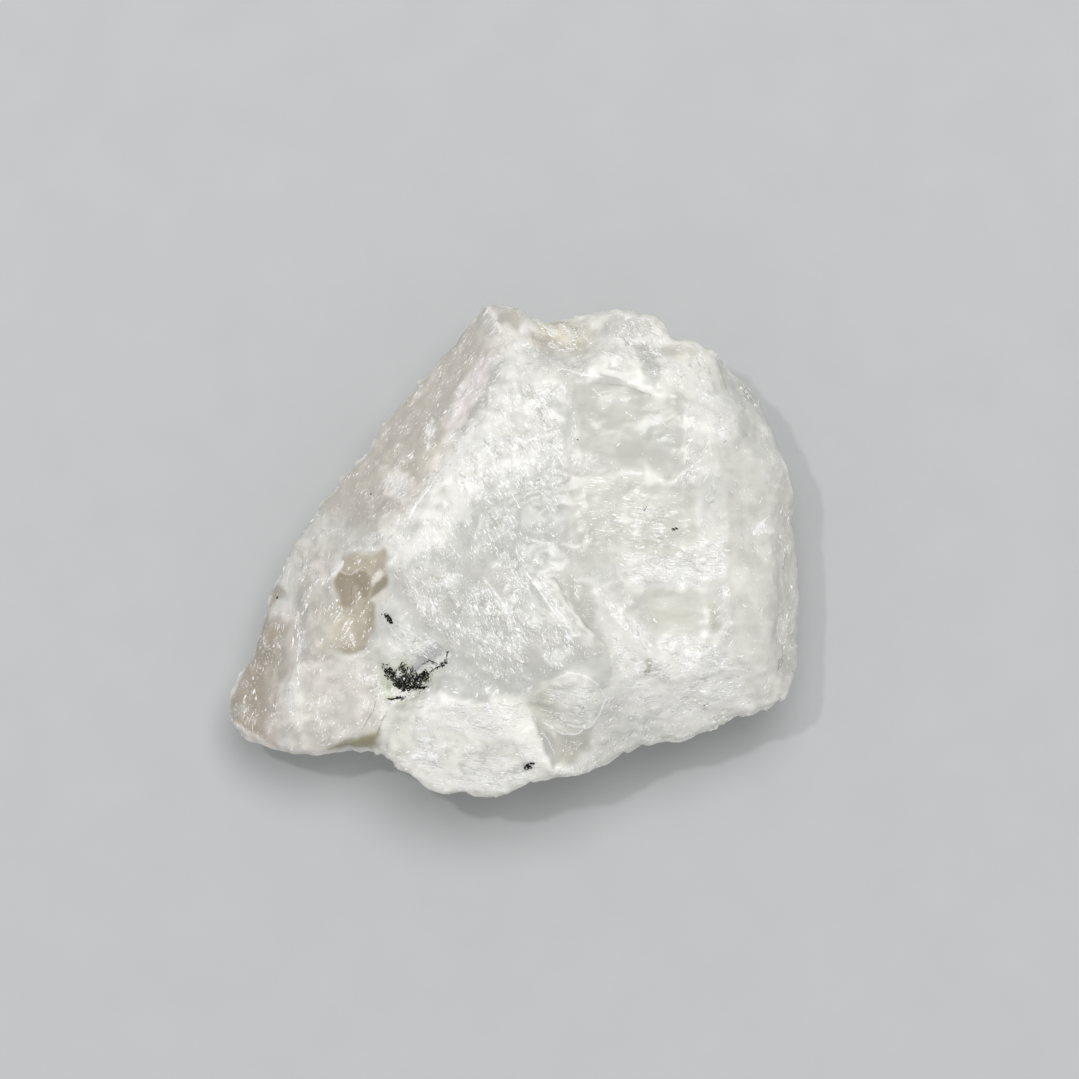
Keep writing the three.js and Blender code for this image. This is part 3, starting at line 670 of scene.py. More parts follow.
        (16.7, -6.8)), Look(veil=0.75, frost=0.7), 0.6, 0.5),
    Pane("lower right frost", ((8, -6.6), (11, -7.4), (17, -7), (19.6, -10), (21, -13), (13, -15),
        (9.5, -13), (8.5, -9.5)), Look(veil=0.7, frost=0.82, grain=0.25, turn=-5, mottle=1.8), 2),
    Pane("right panel", ((17.6, 9.5), (20.8, 9), (22.4, 3), (22.8, -4), (22.4, -10), (19.6, -9.4),
        (18.8, -1)),
        Look(veil=0.5, frost=0.2, grain=0.1, turn=-52, tint=(0.995, 0.985, 0.97), mottle=0.7), 1.2),
    Pane("right flank", ((22.8, 6), (24.6, 6), (26, -5), (25, -13), (22.6, -13.4), (23, -4)),
        Look(veil=0.5, frost=0.4, grain=0.12, turn=60, tint=(1, 0.995, 0.975)), 1),
    Spot("curl of flecks on the right flank", (21.6, 2), (0.6, 1.4), Look(veil=0.6, frost=1.1), 80),
    Spot("frost on the upper right", (16.1, 11.1), (1.1, 1.5),
        Look(veil=0.6, frost=1.05, grain=0.12, turn=-52), 70, 0.9),
    Spot("frost right of the top band", (17.6, 12), (1.9, 3.2),
        Look(veil=0.7, frost=0.6, grain=0.1, turn=-52), 20),
    Spot("chip in the upper right rim", (20.5, 13.8), (1.4, 0.8),
        Look(veil=0.05, frost=0.9, grain=0.1, turn=-52, tint=(0.95, 0.955, 0.94)), -55),
    Spot("hollow beside the rib", (5.9, -4.3), (1.1, 2.5),
        Look(veil=0.1, frost=0.45, grain=0.3, turn=-5, tint=(0.975, 0.965, 0.945), mottle=0.6, lift=-0.08),
        20),
    Streak("standing flecks in the hollow", ((5.2, -2), (5.5, -4.1)), Look(veil=0.5, frost=1), 0.4, 0.8),
    Streak("white band right of the hollow", ((7.3, -3.4), (8.4, -5), (10, -6.4), (11.8, -8.2)),
        Look(veil=0.72, frost=0.95, grain=0.25, turn=-48), 1.4, 0.85),
    Spot("pale root of the rib", (2.8, -1.3), (0.9, 0.5),
        Look(veil=0.5, frost=0.5, tint=(0.985, 1, 0.945)), -50, 0.6),
    Pane("fan of the rib", ((1.2, -2), (2.7, -1.7), (3.7, -3.1), (4.9, -4.7), (6.5, -6.8), (6.8, -7.8),
        (5.5, -7.6), (3.5, -5.4), (2.1, -3.8)),
        Look(veil=0.62, frost=0.7, grain=0.4, turn=-52, mottle=1.6), 0.9, 0.85),
    Streak("rib", ((3.3, -2.7), (4.5, -4.3), (5.5, -5.7), (6.5, -7)),
        Look(veil=0.85, frost=0.8, grain=0.3, turn=-52, lift=0.02), 0.26, 0.75),
    Pane("tongue", ((-11.2, -14), (-8, -12.4), (-2, -12.6), (1.2, -13), (3.4, -17.2), (2, -21),
        (-8, -21.8), (-11.8, -18)),
        Look(veil=0.8, frost=0.82, grain=0.4, turn=-5, tint=(1.01, 1.01, 1), mottle=2.8), 2),
    Pane("smooth left of the tongue", ((-11.1, -13.4), (-8.6, -13.2), (-8.2, -17.2), (-11, -18.2)),
        Look(veil=0.72, frost=0.3, grain=0.4, turn=-5, tint=(0.985, 0.985, 0.94), mottle=2), 1.2),
    Pane("hatched middle of the tongue", ((-6, -12.8), (0.9, -12.9), (1.2, -15.2), (-1.6, -16.8),
        (-6.4, -15.6)), Look(veil=1, frost=1, grain=0.7, turn=-5, mottle=1), 1.6),
    Streak("white folds left of the hatched middle", ((-6.4, -12.8), (-6, -14.1), (-6.5, -15.7),
        (-6, -17.3), (-5.4, -19.2)), Look(veil=1, frost=0.8, grain=0.3, turn=75), 0.8, 0.8),
    Spot("grey hollow under the hatched middle", (-3.2, -17.6), (1.6, 0.8),
        Look(veil=0.5, frost=0.75, mottle=2), 10, 0.6),
    Pane("grey pane above the tongue", ((-7.2, -10.8), (-5.4, -10.9), (-2.6, -12), (-2, -12.9),
        (-4.2, -12.8), (-7, -12.2)),
        Look(veil=0.32, frost=0, grain=0.5, turn=-5, tint=(0.98, 0.99, 0.99), lift=-0.05), 0.6),
    Pane("grey wedge beside the tongue", ((1.6, -13.8), (2.7, -15), (3.7, -16.6), (4.2, -18.3),
        (3.3, -18.7), (2.6, -16.6)),
        Look(veil=0.1, frost=0, grain=0.3, turn=-5, tint=(0.89, 0.9, 0.89), lift=-0.08), 0.5),
    Pane("brown pane beside the tongue", ((3.7, -15.9), (6.5, -15.7), (6.8, -16.9), (5.1, -18.5),
        (3.7, -18.5)), Look(veil=0.15, frost=0.2, grain=0.12, turn=-52, tint=(0.95, 0.93, 0.88)), 0.7),
    Pane("shell-shaped flake", ((1.1, -13.1), (3, -11.3), (4.7, -10.5), (6.3, -10.9), (7.5, -12),
        (7.7, -13.1), (7.2, -14.1), (6.5, -15.4), (5.4, -15.9), (4, -15.7), (2.6, -14.8), (1.6, -13.9)),
        Look(veil=0.66, frost=0.75, grain=0.5, turn=-12, tint=(0.99, 1, 0.98), mottle=1.4, lift=0.08),
        0.5, 0.9),
    Pane("olive tip of the flake", ((1.1, -13.1), (2.3, -11.8), (3.3, -11.7), (4, -13.1), (3.7, -15),
        (2.6, -15), (1.6, -13.9)),
        Look(veil=0.36, frost=0.4, grain=0.5, turn=-12, tint=(0.985, 0.98, 0.91)), 1.6, 0.9),
    Pane("frosted apron over the pit", ((-11.4, -7.1), (-11.2, -5.9), (-9.6, -5.4), (-7.4, -6.8),
        (-5.4, -8.7), (-5.3, -9.9), (-6.8, -10.3), (-9.6, -9.7), (-11.4, -9.6)),
        Look(veil=0.6, frost=0.92, grain=0.2, turn=-45, tint=(0.98, 0.985, 0.995), mottle=1.6), 1.2, 0.9),
    Spot("green halo of the pit", (-9.6, -10.8), (3.1, 2),
        Look(veil=0.55, frost=0.85, tint=(0.945, 0.985, 0.9)), 15),
    Pane("lilac floor beside the pit", ((-8.9, -10.3), (-8.8, -9.4), (-7.9, -8.5), (-6.8, -8.1),
        (-6.3, -8.5), (-6.5, -9.4), (-7.4, -9.6), (-8.2, -10.1)),
        Look(veil=0.1, frost=0.25, tint=(0.9, 0.89, 0.96), lift=-0.1), 0.6),
    Streak("white bar along the lilac floor", ((-7.9, -10.6), (-6.7, -9.9), (-5.8, -9)),
        Look(veil=1.1, frost=1, tint=(1, 1, 1.01)), 0.4),
    Pane("pale chips under the pit", ((-10.3, -12.1), (-9.6, -11.9), (-8.7, -12), (-8.6, -13),
        (-9.6, -13.2), (-10.3, -12.9)), Look(veil=0.6, frost=0.95, tint=(0.985, 0.985, 0.89)), 0.4, 0.9),
    Spot("smooth pane under the pit", (-9.6, -13.5), (0.8, 0.4),
        Look(veil=0.3, frost=-0.1, tint=(0.965, 0.955, 0.92)), 0, 0.7),
    Pane("dark core of the pit", ((-10.9, -10.1), (-10.4, -10.4), (-10, -10.9), (-9.7, -10.6),
        (-9.4, -10.4), (-9, -10.5), (-8.6, -10.9), (-7.9, -10.4), (-7.3, -10.6), (-7.5, -11.2),
        (-8.2, -11.6), (-7.6, -11.8), (-8.6, -12), (-9.4, -12.2), (-10, -12), (-10.4, -11.5),
        (-10.8, -10.9)), Look(frost=0.4, tint=(0.7, 0.75, 0.58), dark=0.9, lift=-0.15), 0.45),
    Spot("mossy needles above the pit", (-9.4, -10.2), (0.7, 0.5),
        Look(tint=(0.72, 0.76, 0.55), dark=0.62), 0, 0.9),
    Spot("moss on the right of the pit", (-7.9, -11), (0.8, 0.5), Look(tint=(0.68, 0.73, 0.5), dark=0.72),
        20, 0.8),
    Spot("green stain left of the pit", (-11.5, -12.2), (0.9, 1.1),
        Look(veil=0.5, frost=0.9, tint=(0.85, 0.915, 0.78), mottle=1.5), 60, 0.9),
    Spot("olive stain under the left arm", (-10.8, -12), (0.4, 0.5),
        Look(veil=0.2, tint=(0.83, 0.85, 0.7)), 60, 0.8),
    Streak("tail of the pit's grains", ((-7.4, -10.7), (-6.7, -10.2), (-6, -9.6)),
        Look(tint=(0.85, 0.87, 0.78), dark=0.45), 0.3),
    Streak("dash of grains under the pit", ((-11, -13), (-10.4, -12.8), (-9.6, -12.8)),
        Look(tint=(0.8, 0.8, 0.62), dark=0.6), 0.25),
    Streak("stain below the fibres", ((17.3, -4.8), (17.5, -5.7), (17.7, -6.6)),
        Look(tint=(0.86, 0.83, 0.73), dark=0.22), 0.7, 0.8),
    Streak("stain over the lower edge", ((11.9, -9.4), (11.8, -10.1), (11.5, -10.4)),
        Look(veil=0.1, tint=(0.76, 0.73, 0.62), dark=0.15), 0.35),
    Spot("stain on the right flank", (23.1, -9.6), (0.4, 0.5),
        Look(veil=0.1, tint=(0.83, 0.8, 0.7), dark=0.12)),
    Spot("bruise at the tongue's lower edge", (0.6, -18.9), (1.4, 0.6),
        Look(veil=0.2, tint=(0.93, 0.94, 0.95)), 10),
    Spot("speck of grains on the tongue", (1.3, -18.8), (0.5, 0.4), Look(dark=0.9)),
    Spot("speck of grains by the brown window", (-11.1, -5.8), (0.3, 0.5), Look(dark=0.6), 60),
    Spot("speck of grains in the fibres", (13.9, 1.9), (0.4, 0.2), Look(dark=0.8), -10),
    Spot("small speck in the fibres", (11.3, 3.8), (0.3, 0.2), Look(dark=0.45), 40),
)

HAIRLINES: tuple[Hairline, ...] = (
    Hairline("crack left of the pit", Tone.DARK, ((-12, -13), (-12.3, -14), (-13, -15.2)), 0.05, 0.7),
    Hairline("crack under the pit", Tone.DARK, ((-10.7, -13.1), (-11, -13.9), (-11.5, -14.7),
        (-11.9, -15.8)), 0.07, 0.9),
    Hairline("upper rim of the shell-shaped flake", Tone.PALE, ((3.7, -11), (4.7, -10.5), (6.1, -10.7),
        (7.3, -11.5), (7.8, -12.4)), 0.06, 0.6),
    Hairline("lower rim of the shell-shaped flake", Tone.PALE, ((7.8, -13.1), (7.4, -14.1), (6.5, -15.2),
        (5.5, -15.9), (4.1, -15.8), (2.9, -15)), 0.08, 0.9),
    Hairline("right edge of the tongue", Tone.PALE, ((1.1, -13.4), (1.9, -14.5), (3, -16.4),
        (3.5, -17.3)), 0.05, 0.4),
    Hairline("left line of the rib", Tone.PALE, ((1.2, -2), (2.3, -3.6), (3.7, -5.4)), 0.07, 0.8),
    Hairline("second line left of the rib", Tone.PALE, ((1.9, -2.8), (3, -4.1), (3.4, -4.6)), 0.06, 0.7),
    Hairline("shadow beside the rib", Tone.DARK, ((3.4, -2), (4.7, -4.5), (6.7, -6.8)), 0.07, 0.45),
    Hairline("left leg of the crest", Tone.DARK, ((-2.9, -2.1), (-3.6, -3.1), (-4.4, -4.3), (-5.1, -6.1)),
        0.08, 0.35),
    Hairline("right leg of the crest", Tone.PALE, ((-2.5, -2.4), (-1.2, -4.1), (0.3, -6.2), (1.1, -7.5)),
        0.07, 0.45),
    Hairline("left edge of the lilac floor", Tone.DARK, ((-8.7, -10.4), (-7.9, -9.8), (-7.2, -9.5)), 0.05,
        1.2),
    Hairline("right edge of the lilac floor", Tone.DARK, ((-7.3, -9.5), (-6.6, -9.9)), 0.05, 1.5),
    Hairline("tail of the pit", Tone.DARK, ((-7.3, -10.5), (-6.6, -10), (-5.9, -9.5), (-5.8, -8.9)), 0.06,
        1.4),
    Hairline("upper edge of the cleavage window", Tone.DARK, ((7.4, 14.6), (9.7, 14.3), (11.9, 13.5)),
        0.06, 0.4),
    Hairline("fold beside the upper right rim", Tone.DARK, ((17.7, 16.8), (18.6, 14.1)), 0.06, 0.4),
    Hairline("line from the middle to the wedge", Tone.PALE, ((4, 15.8), (5.8, 15.4), (7.4, 15.2)), 0.08,
        0.6),
    Hairline("curl by the lower edge", Tone.PALE, ((15.2, -8.7), (16.1, -8.9), (15.9, -9.6),
        (15.2, -8.7)), 0.07, 0.8),
    Hairline("curl on the right flank", Tone.PALE, ((21.9, 2.7), (21.3, 2.2), (21.2, 1.3)), 0.09, 0.9),
    Hairline("first hatch line of the tongue", Tone.DARK, ((-5.4, -13.8), (-2.6, -13.6), (0.2, -13.9)),
        0.04, 0.3),
    Hairline("second hatch line of the tongue", Tone.DARK, ((-4.9, -14.7), (-2.5, -14.6), (-0.2, -14.8)),
        0.04, 0.3),
    Hairline("third hatch line of the tongue", Tone.PALE, ((-6, -14.2), (-3, -14.1), (0.5, -14.3)), 0.05,
        0.6),
    Hairline("long line at the lower right", Tone.PALE, ((11.1, -10.6), (13.5, -10.3), (16.3, -9.9)),
        0.05, 0.5),
    Hairline("lip over the dark heart", Tone.PALE, ((-15.1, -1.7), (-14.6, -2.1), (-14.2, -2.1),
        (-13.8, -1.8), (-13.4, -1.5)), 0.06, 0.3),
    Hairline("inner arc in the brown window", Tone.DARK, ((-14.3, -4.7), (-14.2, -3.2), (-13.9, -2.9),
        (-13.6, -2.9)), 0.05, 0.8),
    Hairline("crest line of the left ridge", Tone.PALE, ((-8.8, 3.4), (-7.9, 4.8), (-6.7, 6.4),
        (-5.4, 7.8), (-4.5, 8.9)), 0.09, 0.9),
)

SPARKS: tuple[Sparks, ...] = (
    Sparks("chain down the left ridge", ((-15.1, -1.3), (-15.4, -1.8), (-15.8, -2.1), (-16.1, -2.3),
        (-16.5, -2.5), (-17.2, -2.6), (-17.5, -3), (-17.8, -3.2), (-17.9, -3.7), (-18, -4), (-18.2, -4.4),
        (-18.2, -4.7), (-18.3, -5.1), (-18.5, -5.4)), 60),
    Sparks("chain on the lower left ridge", ((-18.9, -5.4), (-19, -6), (-19.2, -6.7), (-18.9, -7.1),
        (-18.8, -7.5), (-18.7, -8.2), (-19.4, -8.2), (-18.9, -8.9), (-19, -9.7), (-18.9, -10.3),
        (-18.9, -10.9), (-18.9, -11.7), (-18.8, -13.2), (-18.6, -14.1), (-18.9, -15)), 82),
    Sparks("glints in the brown window", ((-13.5, -3.7), (-13.4, -4), (-13.6, -4.2), (-14.1, -4.6),
        (-14.2, -5.3), (-13, -5.2), (-13.2, -5.4), (-12.5, -5.9), (-12.5, -6.8), (-14.3, -6.4),
        (-14.4, -6.8), (-14.1, -7.4), (-14.6, -7.1), (-13.2, -7.5), (-14.5, -6.1), (-12.1, -2),
        (-12.2, -2.5)), 60, 0.26),
    Sparks("glints on the far left flank", ((-20.8, -6.8), (-21.8, -9.7), (-22.1, -10.4), (-20.6, -8.5),
        (-21.8, -13.9), (-23.8, -13.1), (-23.6, -13.9), (-22.7, -14.7)), 72, 0.26),
    Sparks("glints left of the brown window", ((-16.5, -5.4), (-17.3, -5.3), (-15.8, -4.8), (-16.6, -9.3),
        (-17.3, -10), (-16.1, -3.4), (-16.8, -7.8)), 80, 0.26),
    Sparks("glints on the lower left plate", ((-19.6, -14.1), (-19.6, -15.4), (-15.7, -15),
        (-13.2, -13.6), (-13.5, -15), (-17.6, -13.5), (-14.8, -12.2), (-12.5, -12.2)), 45, 0.26),
    Sparks("glints on the upper left flank", ((-6.5, 16.1), (-7.5, 11.1), (-9.1, 8.3), (-8.8, 8.2),
        (-7.5, 8.2), (-6.2, 8.3), (-5.2, 10.6), (-5.6, 10.3), (-9.4, 5.4), (-11.2, 3.9), (-8.4, 7.1),
        (-6.8, 9.2)), 50, 0.28),
    Sparks("glints along the ridge", ((-2.6, 13.8), (-2.3, 21.8), (-2.6, 20.7), (-2, 10.4), (-1.6, 8.6),
        (-3.5, 7.5), (-0.8, 5.7), (0.2, 6.8), (1.1, 4.8), (1.9, 8.6), (-4, 6.2), (-5.1, 4.5)), 45),
    Sparks("curls in the scoop", ((2.7, 19.5), (3.3, 18.8), (4, 18.1), (5.2, 18.1), (6.1, 18.7),
        (4.6, 19.3), (5.7, 17.6), (6.7, 18.1), (3.7, 17.5)), -30),
    Sparks("chips in the cleavage window", ((7.2, 13.8), (7.5, 13.5), (7.9, 13.2), (8.2, 13.2),
        (9.1, 13.3), (9.8, 12), (10.4, 11.6), (11.6, 12.6), (12.1, 11.7), (12.5, 11.4), (12.9, 11.1),
        (13.7, 9.6), (12.5, 9.6)), -38, 0.3),
    Sparks("flecks right of the cleavage window", ((16.3, 12), (15.4, 11.6), (18.2, 10.7), (16, 7.8),
        (15.8, 7.1), (15.3, 9.6), (16.7, 9.7)), 20),
    Sparks("strokes in the fibres", ((8.7, 3.2), (8.2, 4.2), (9.3, 2.7), (10.7, 2.7), (11.5, 2.5),
        (12.5, 2.4), (11.1, 0.3), (12.4, -0.1), (13.2, -0.8), (10.2, -0.8), (18.4, 0.1), (17.9, 0.9)),
        -10),
    Sparks("strokes on the right flank", ((21.5, 4.3), (23.4, 3.6), (22.3, 2), (20.9, 1.6), (24.3, -3.2),
        (21.5, -5.4)), 72),
    Sparks("glints in the upper right chip", ((20.3, 13.9), (20.5, 13.5), (21.1, 12.8), (19.9, 14.3)),
        40),
    Sparks("strokes in the middle", ((-2.4, 0.8), (-3.1, -5.2), (-2.2, -5.6), (-1.7, -7), (-3.1, -7),
        (-1.3, -6.1), (-3.9, -4.4), (-0.4, -4.8), (0.3, -6.8), (-4.6, -6.8), (-2.6, -3.6), (-5.2, -5.2),
        (-1.9, -4.6), (-1, -7.3)), -62),
    Sparks("strokes beside the hollow", ((5.3, -2.5), (5.4, -3.2), (5.5, -3.9), (7.6, -3.6), (8, -4.4),
        (8.3, -5.2), (9.6, -4.7)), -62),
    Sparks("strokes right of the hollow", ((9.5, -6.6), (10.1, -6.9), (10.7, -7.5), (11.2, -7.9),
        (9.1, -5.9), (11.9, -8.3)), -42),
    Sparks("strokes at the lower right", ((12.2, -6), (20.1, -4.7), (18.4, -7.1), (19.4, -9.1),
        (19.8, -10.3), (17.4, -9.6), (16.3, -12.2), (14.6, -13.1), (18.2, -12.2), (24.5, -8.5)), -15),
    Sparks("upright strokes on the tongue", ((-3.2, -12.4), (-1.4, -12.2), (-0.8, -12.8), (0.5, -13.1),
        (-5.2, -13.1), (-3.9, -14.1), (-1.8, -14.6), (-0.2, -14.1)), 75),
    Sparks("long strokes on the tongue", ((-4.6, -13.6), (-2.5, -13.3), (-0.5, -13.6), (-3.3, -14.6),
        (-1.2, -15), (-4.9, -15), (-2.1, -13.9), (0.5, -14.1), (-6.5, -18.3), (-5.2, -19.4)), -5),
    Sparks("white flecks over the lilac floor", ((-8.6, -8.5), (-8.2, -8.3), (-7.9, -8), (-7.5, -7.8),
        (-7.1, -7.9), (-8.3, -7.6), (-7.7, -8.3), (-8.9, -8.9), (-6.8, -8.2), (-7.4, -7.5), (-9.3, -7.8)),
        20),
    Sparks("white specks in the pit", ((-9.9, -10.9), (-9.8, -11.3), (-9.7, -11.7), (-9, -11.6),
        (-10.1, -10.5), (-7.8, -11.6), (-10.4, -11.1), (-8.3, -11.3)), 60, 0.2),
    Sparks("chips under the pit", ((-10.2, -12.3), (-9.8, -12.1), (-9.3, -12.2), (-8.9, -12.4),
        (-9.6, -12.5), (-9, -12.8), (-11.3, -12.4), (-11.7, -11.8)), 20),
)


@dataclass(frozen=True)
class Break:
    """One size of the shallow bowls that a broken face is made of, in millimetres."""

    spacing: float
    rise: float


@dataclass(frozen=True)
class Nudge:
    """A small push of the outline that fades over a radius, in millimetres on the ground plan."""

    name: str
    centre: Point
    radius: float
    move: Point

    def push(self, points: np.ndarray) -> None:
        """Moves the points around the nudge's centre."""
        away = np.linalg.norm(points[:, :2] - np.array(self.centre), axis=1)
        points[:, :2] += (1 - smooth(0.0, self.radius, away))[:, None] * np.array(self.move)


NUDGES: tuple[Nudge, ...] = (
    Nudge("upper left flank", (-19.6, 0.3), 4.0, (-0.42, 0.0)),
    Nudge("lower left flank", (-21.8, -6.8), 3.6, (-0.5, 0.0)),
    Nudge("left corner", (-24.6, -14.4), 3.0, (-0.3, -0.1)),
    Nudge("tip", (-3.8, 20.5), 1.8, (0.4, -0.25)),
    Nudge("lower right edge", (18.9, -15.0), 2.2, (-0.05, 0.2)),
    Nudge("tongue's lower left", (-8.6, -19.6), 1.6, (-0.15, -0.12)),
)

HIDDEN_PATCHES: tuple[Patches, ...] = (
    Patches(
        "tan stains", Look(veil=0.2, tint=(0.86, 0.79, 0.68)), Cloud(1.0, 9.0, shift=200.0), 0.3, 0.75, 0.7
    ),
    Patches("black specks", Look(dark=0.7), Cloud(1.0, 2.2, 1, 310.0), 0.62, 0.75),
    Patches("frosted faces", Look(veil=0.62, frost=0.95), Cloud(1.0, 5.0, shift=250.0), -0.05, 0.25),
    Patches("clear faces", Look(veil=0.15, frost=0.1), Cloud(1.0, 6.0, shift=270.0), 0.3, 0.5, 0.8),
)


@dataclass
class StoneMesh:
    """The stone's surface as points and triangles, in millimetres."""

    points: np.ndarray
    faces: np.ndarray

    @classmethod
    def from_object(cls, piece: bpy.types.Object) -> StoneMesh:
        """Reads a mesh object and joins its doubled points.

        Args:
            piece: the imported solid's object.

        Returns:
            The closed surface.
        """
        mesh = piece.data
        mesh.calc_loop_triangles()
        points = np.zeros(len(mesh.vertices) * 3)
        mesh.vertices.foreach_get("co", points)
        faces = np.zeros(len(mesh.loop_triangles) * 3, int)
        mesh.loop_triangles.foreach_get("vertices", faces)
        points = points.reshape(-1, 3) / MM
        _, first, place = np.unique(np.round(points, 3), axis=0, return_index=True, return_inverse=True)
        faces = place.reshape(-1)[faces].reshape(-1, 3)
        apart = (faces[:, 0] != faces[:, 1]) & (faces[:, 1] != faces[:, 2]) & (faces[:, 0] != faces[:, 2])
        return cls(points[first], faces[apart])

    def edges(self) -> tuple[np.ndarray, np.ndarray]:
        """The edges of the surface.

        Returns:
            Each edge once as two point numbers, and the edge's number for each side of each triangle.
        """
        pairs = np.concatenate([self.faces[:, [0, 1]], self.faces[:, [1, 2]], self.faces[:, [2, 0]]])
        edges, place = np.unique(np.sort(pairs, axis=1), axis=0, return_inverse=True)
        return edges, place.reshape(3, -1)

    def split(self) -> StoneMesh:
        """Cuts each triangle into four.

        Returns:
            The finer surface.
        """
        edges, place = self.edges()
        a, b, c = self.faces.T
        ab, bc, ca = place + len(self.points)
        middles = self.points[edges].mean(axis=1)
        parts = [[a, ab, ca], [ab, b, bc], [ca, bc, c], [ab, bc, ca]]
        faces = np.concatenate([np.stack(part, axis=1) for part in parts])
        return StoneMesh(np.concatenate([self.points, middles]), faces)

    def relax(self, *shares: float) -> None:
        """Moves each point towards the middle of its neighbours, and keeps the foot flat.

        Args:
            shares: how much of the way each pass goes; a negative share takes back an earlier shrinking.
        """
        start, end = self.edges()[0].T
        count = len(self.points)
        ties = np.bincount(start, minlength=count) + np.bincount(end, minlength=count)
        foot = self.points[:, 2] < FOOT_HEIGHT
        for share in shares:
            for axis in range(3):
                value = self.points[:, axis]
                total = np.bincount(start, value[end], count) + np.bincount(end, value[start], count)
                self.points[:, axis] = mix(value, total / ties, share)
            self.points[foot, 2] = 0.0

    def normals(self) -> np.ndarray:
        """The outward direction at each point.

        Returns:
            One unit vector per row.
        """
        a, b, c = (self.points[self.faces[:, corner]] for corner in range(3))
        across = np.cross(b - a, c - a)
        total = np.zeros_like(self.points)
        for corner in range(3):
            for axis in range(3):
                total[:, axis] += np.bincount(self.faces[:, corner], across[:, axis], len(self.points))
        return total / np.maximum(np.linalg.norm(total, axis=1), TINY)[:, None]

    def seams(self, *values: np.ndarray) -> np.ndarray:
        """Where a value differs from a neighbour's.

        Args:
            values: one or more values for each point.

        Returns:
            True at the points on both sides of a difference.
        """
        found = np.zeros(len(self.points), bool)
        start, end = self.edges()[0].T
        for value in values:
            across = value[start] != value[end]
            found[start[across]] = True
            found[end[across]] = True
        return found

    def bulge(self, *shares: float) -> np.ndarray:
        """How far each point stands out of the surface around it.

        Args:
            shares: the passes of relaxing that make the surface to compare with.

        Returns:
            A height in millimetres for each point, negative in a hollow.
        """
        flat = StoneMesh(self.points.copy(), self.faces)
        flat.relax(*shares)
        return np.einsum("ij,ij->i", self.points - flat.points, self.normals())

    def tree(self) -> BVHTree:
        """The surface as a tree that rays can be cast at."""
        return BVHTree.FromPolygons(self.points.tolist(), self.faces.tolist())


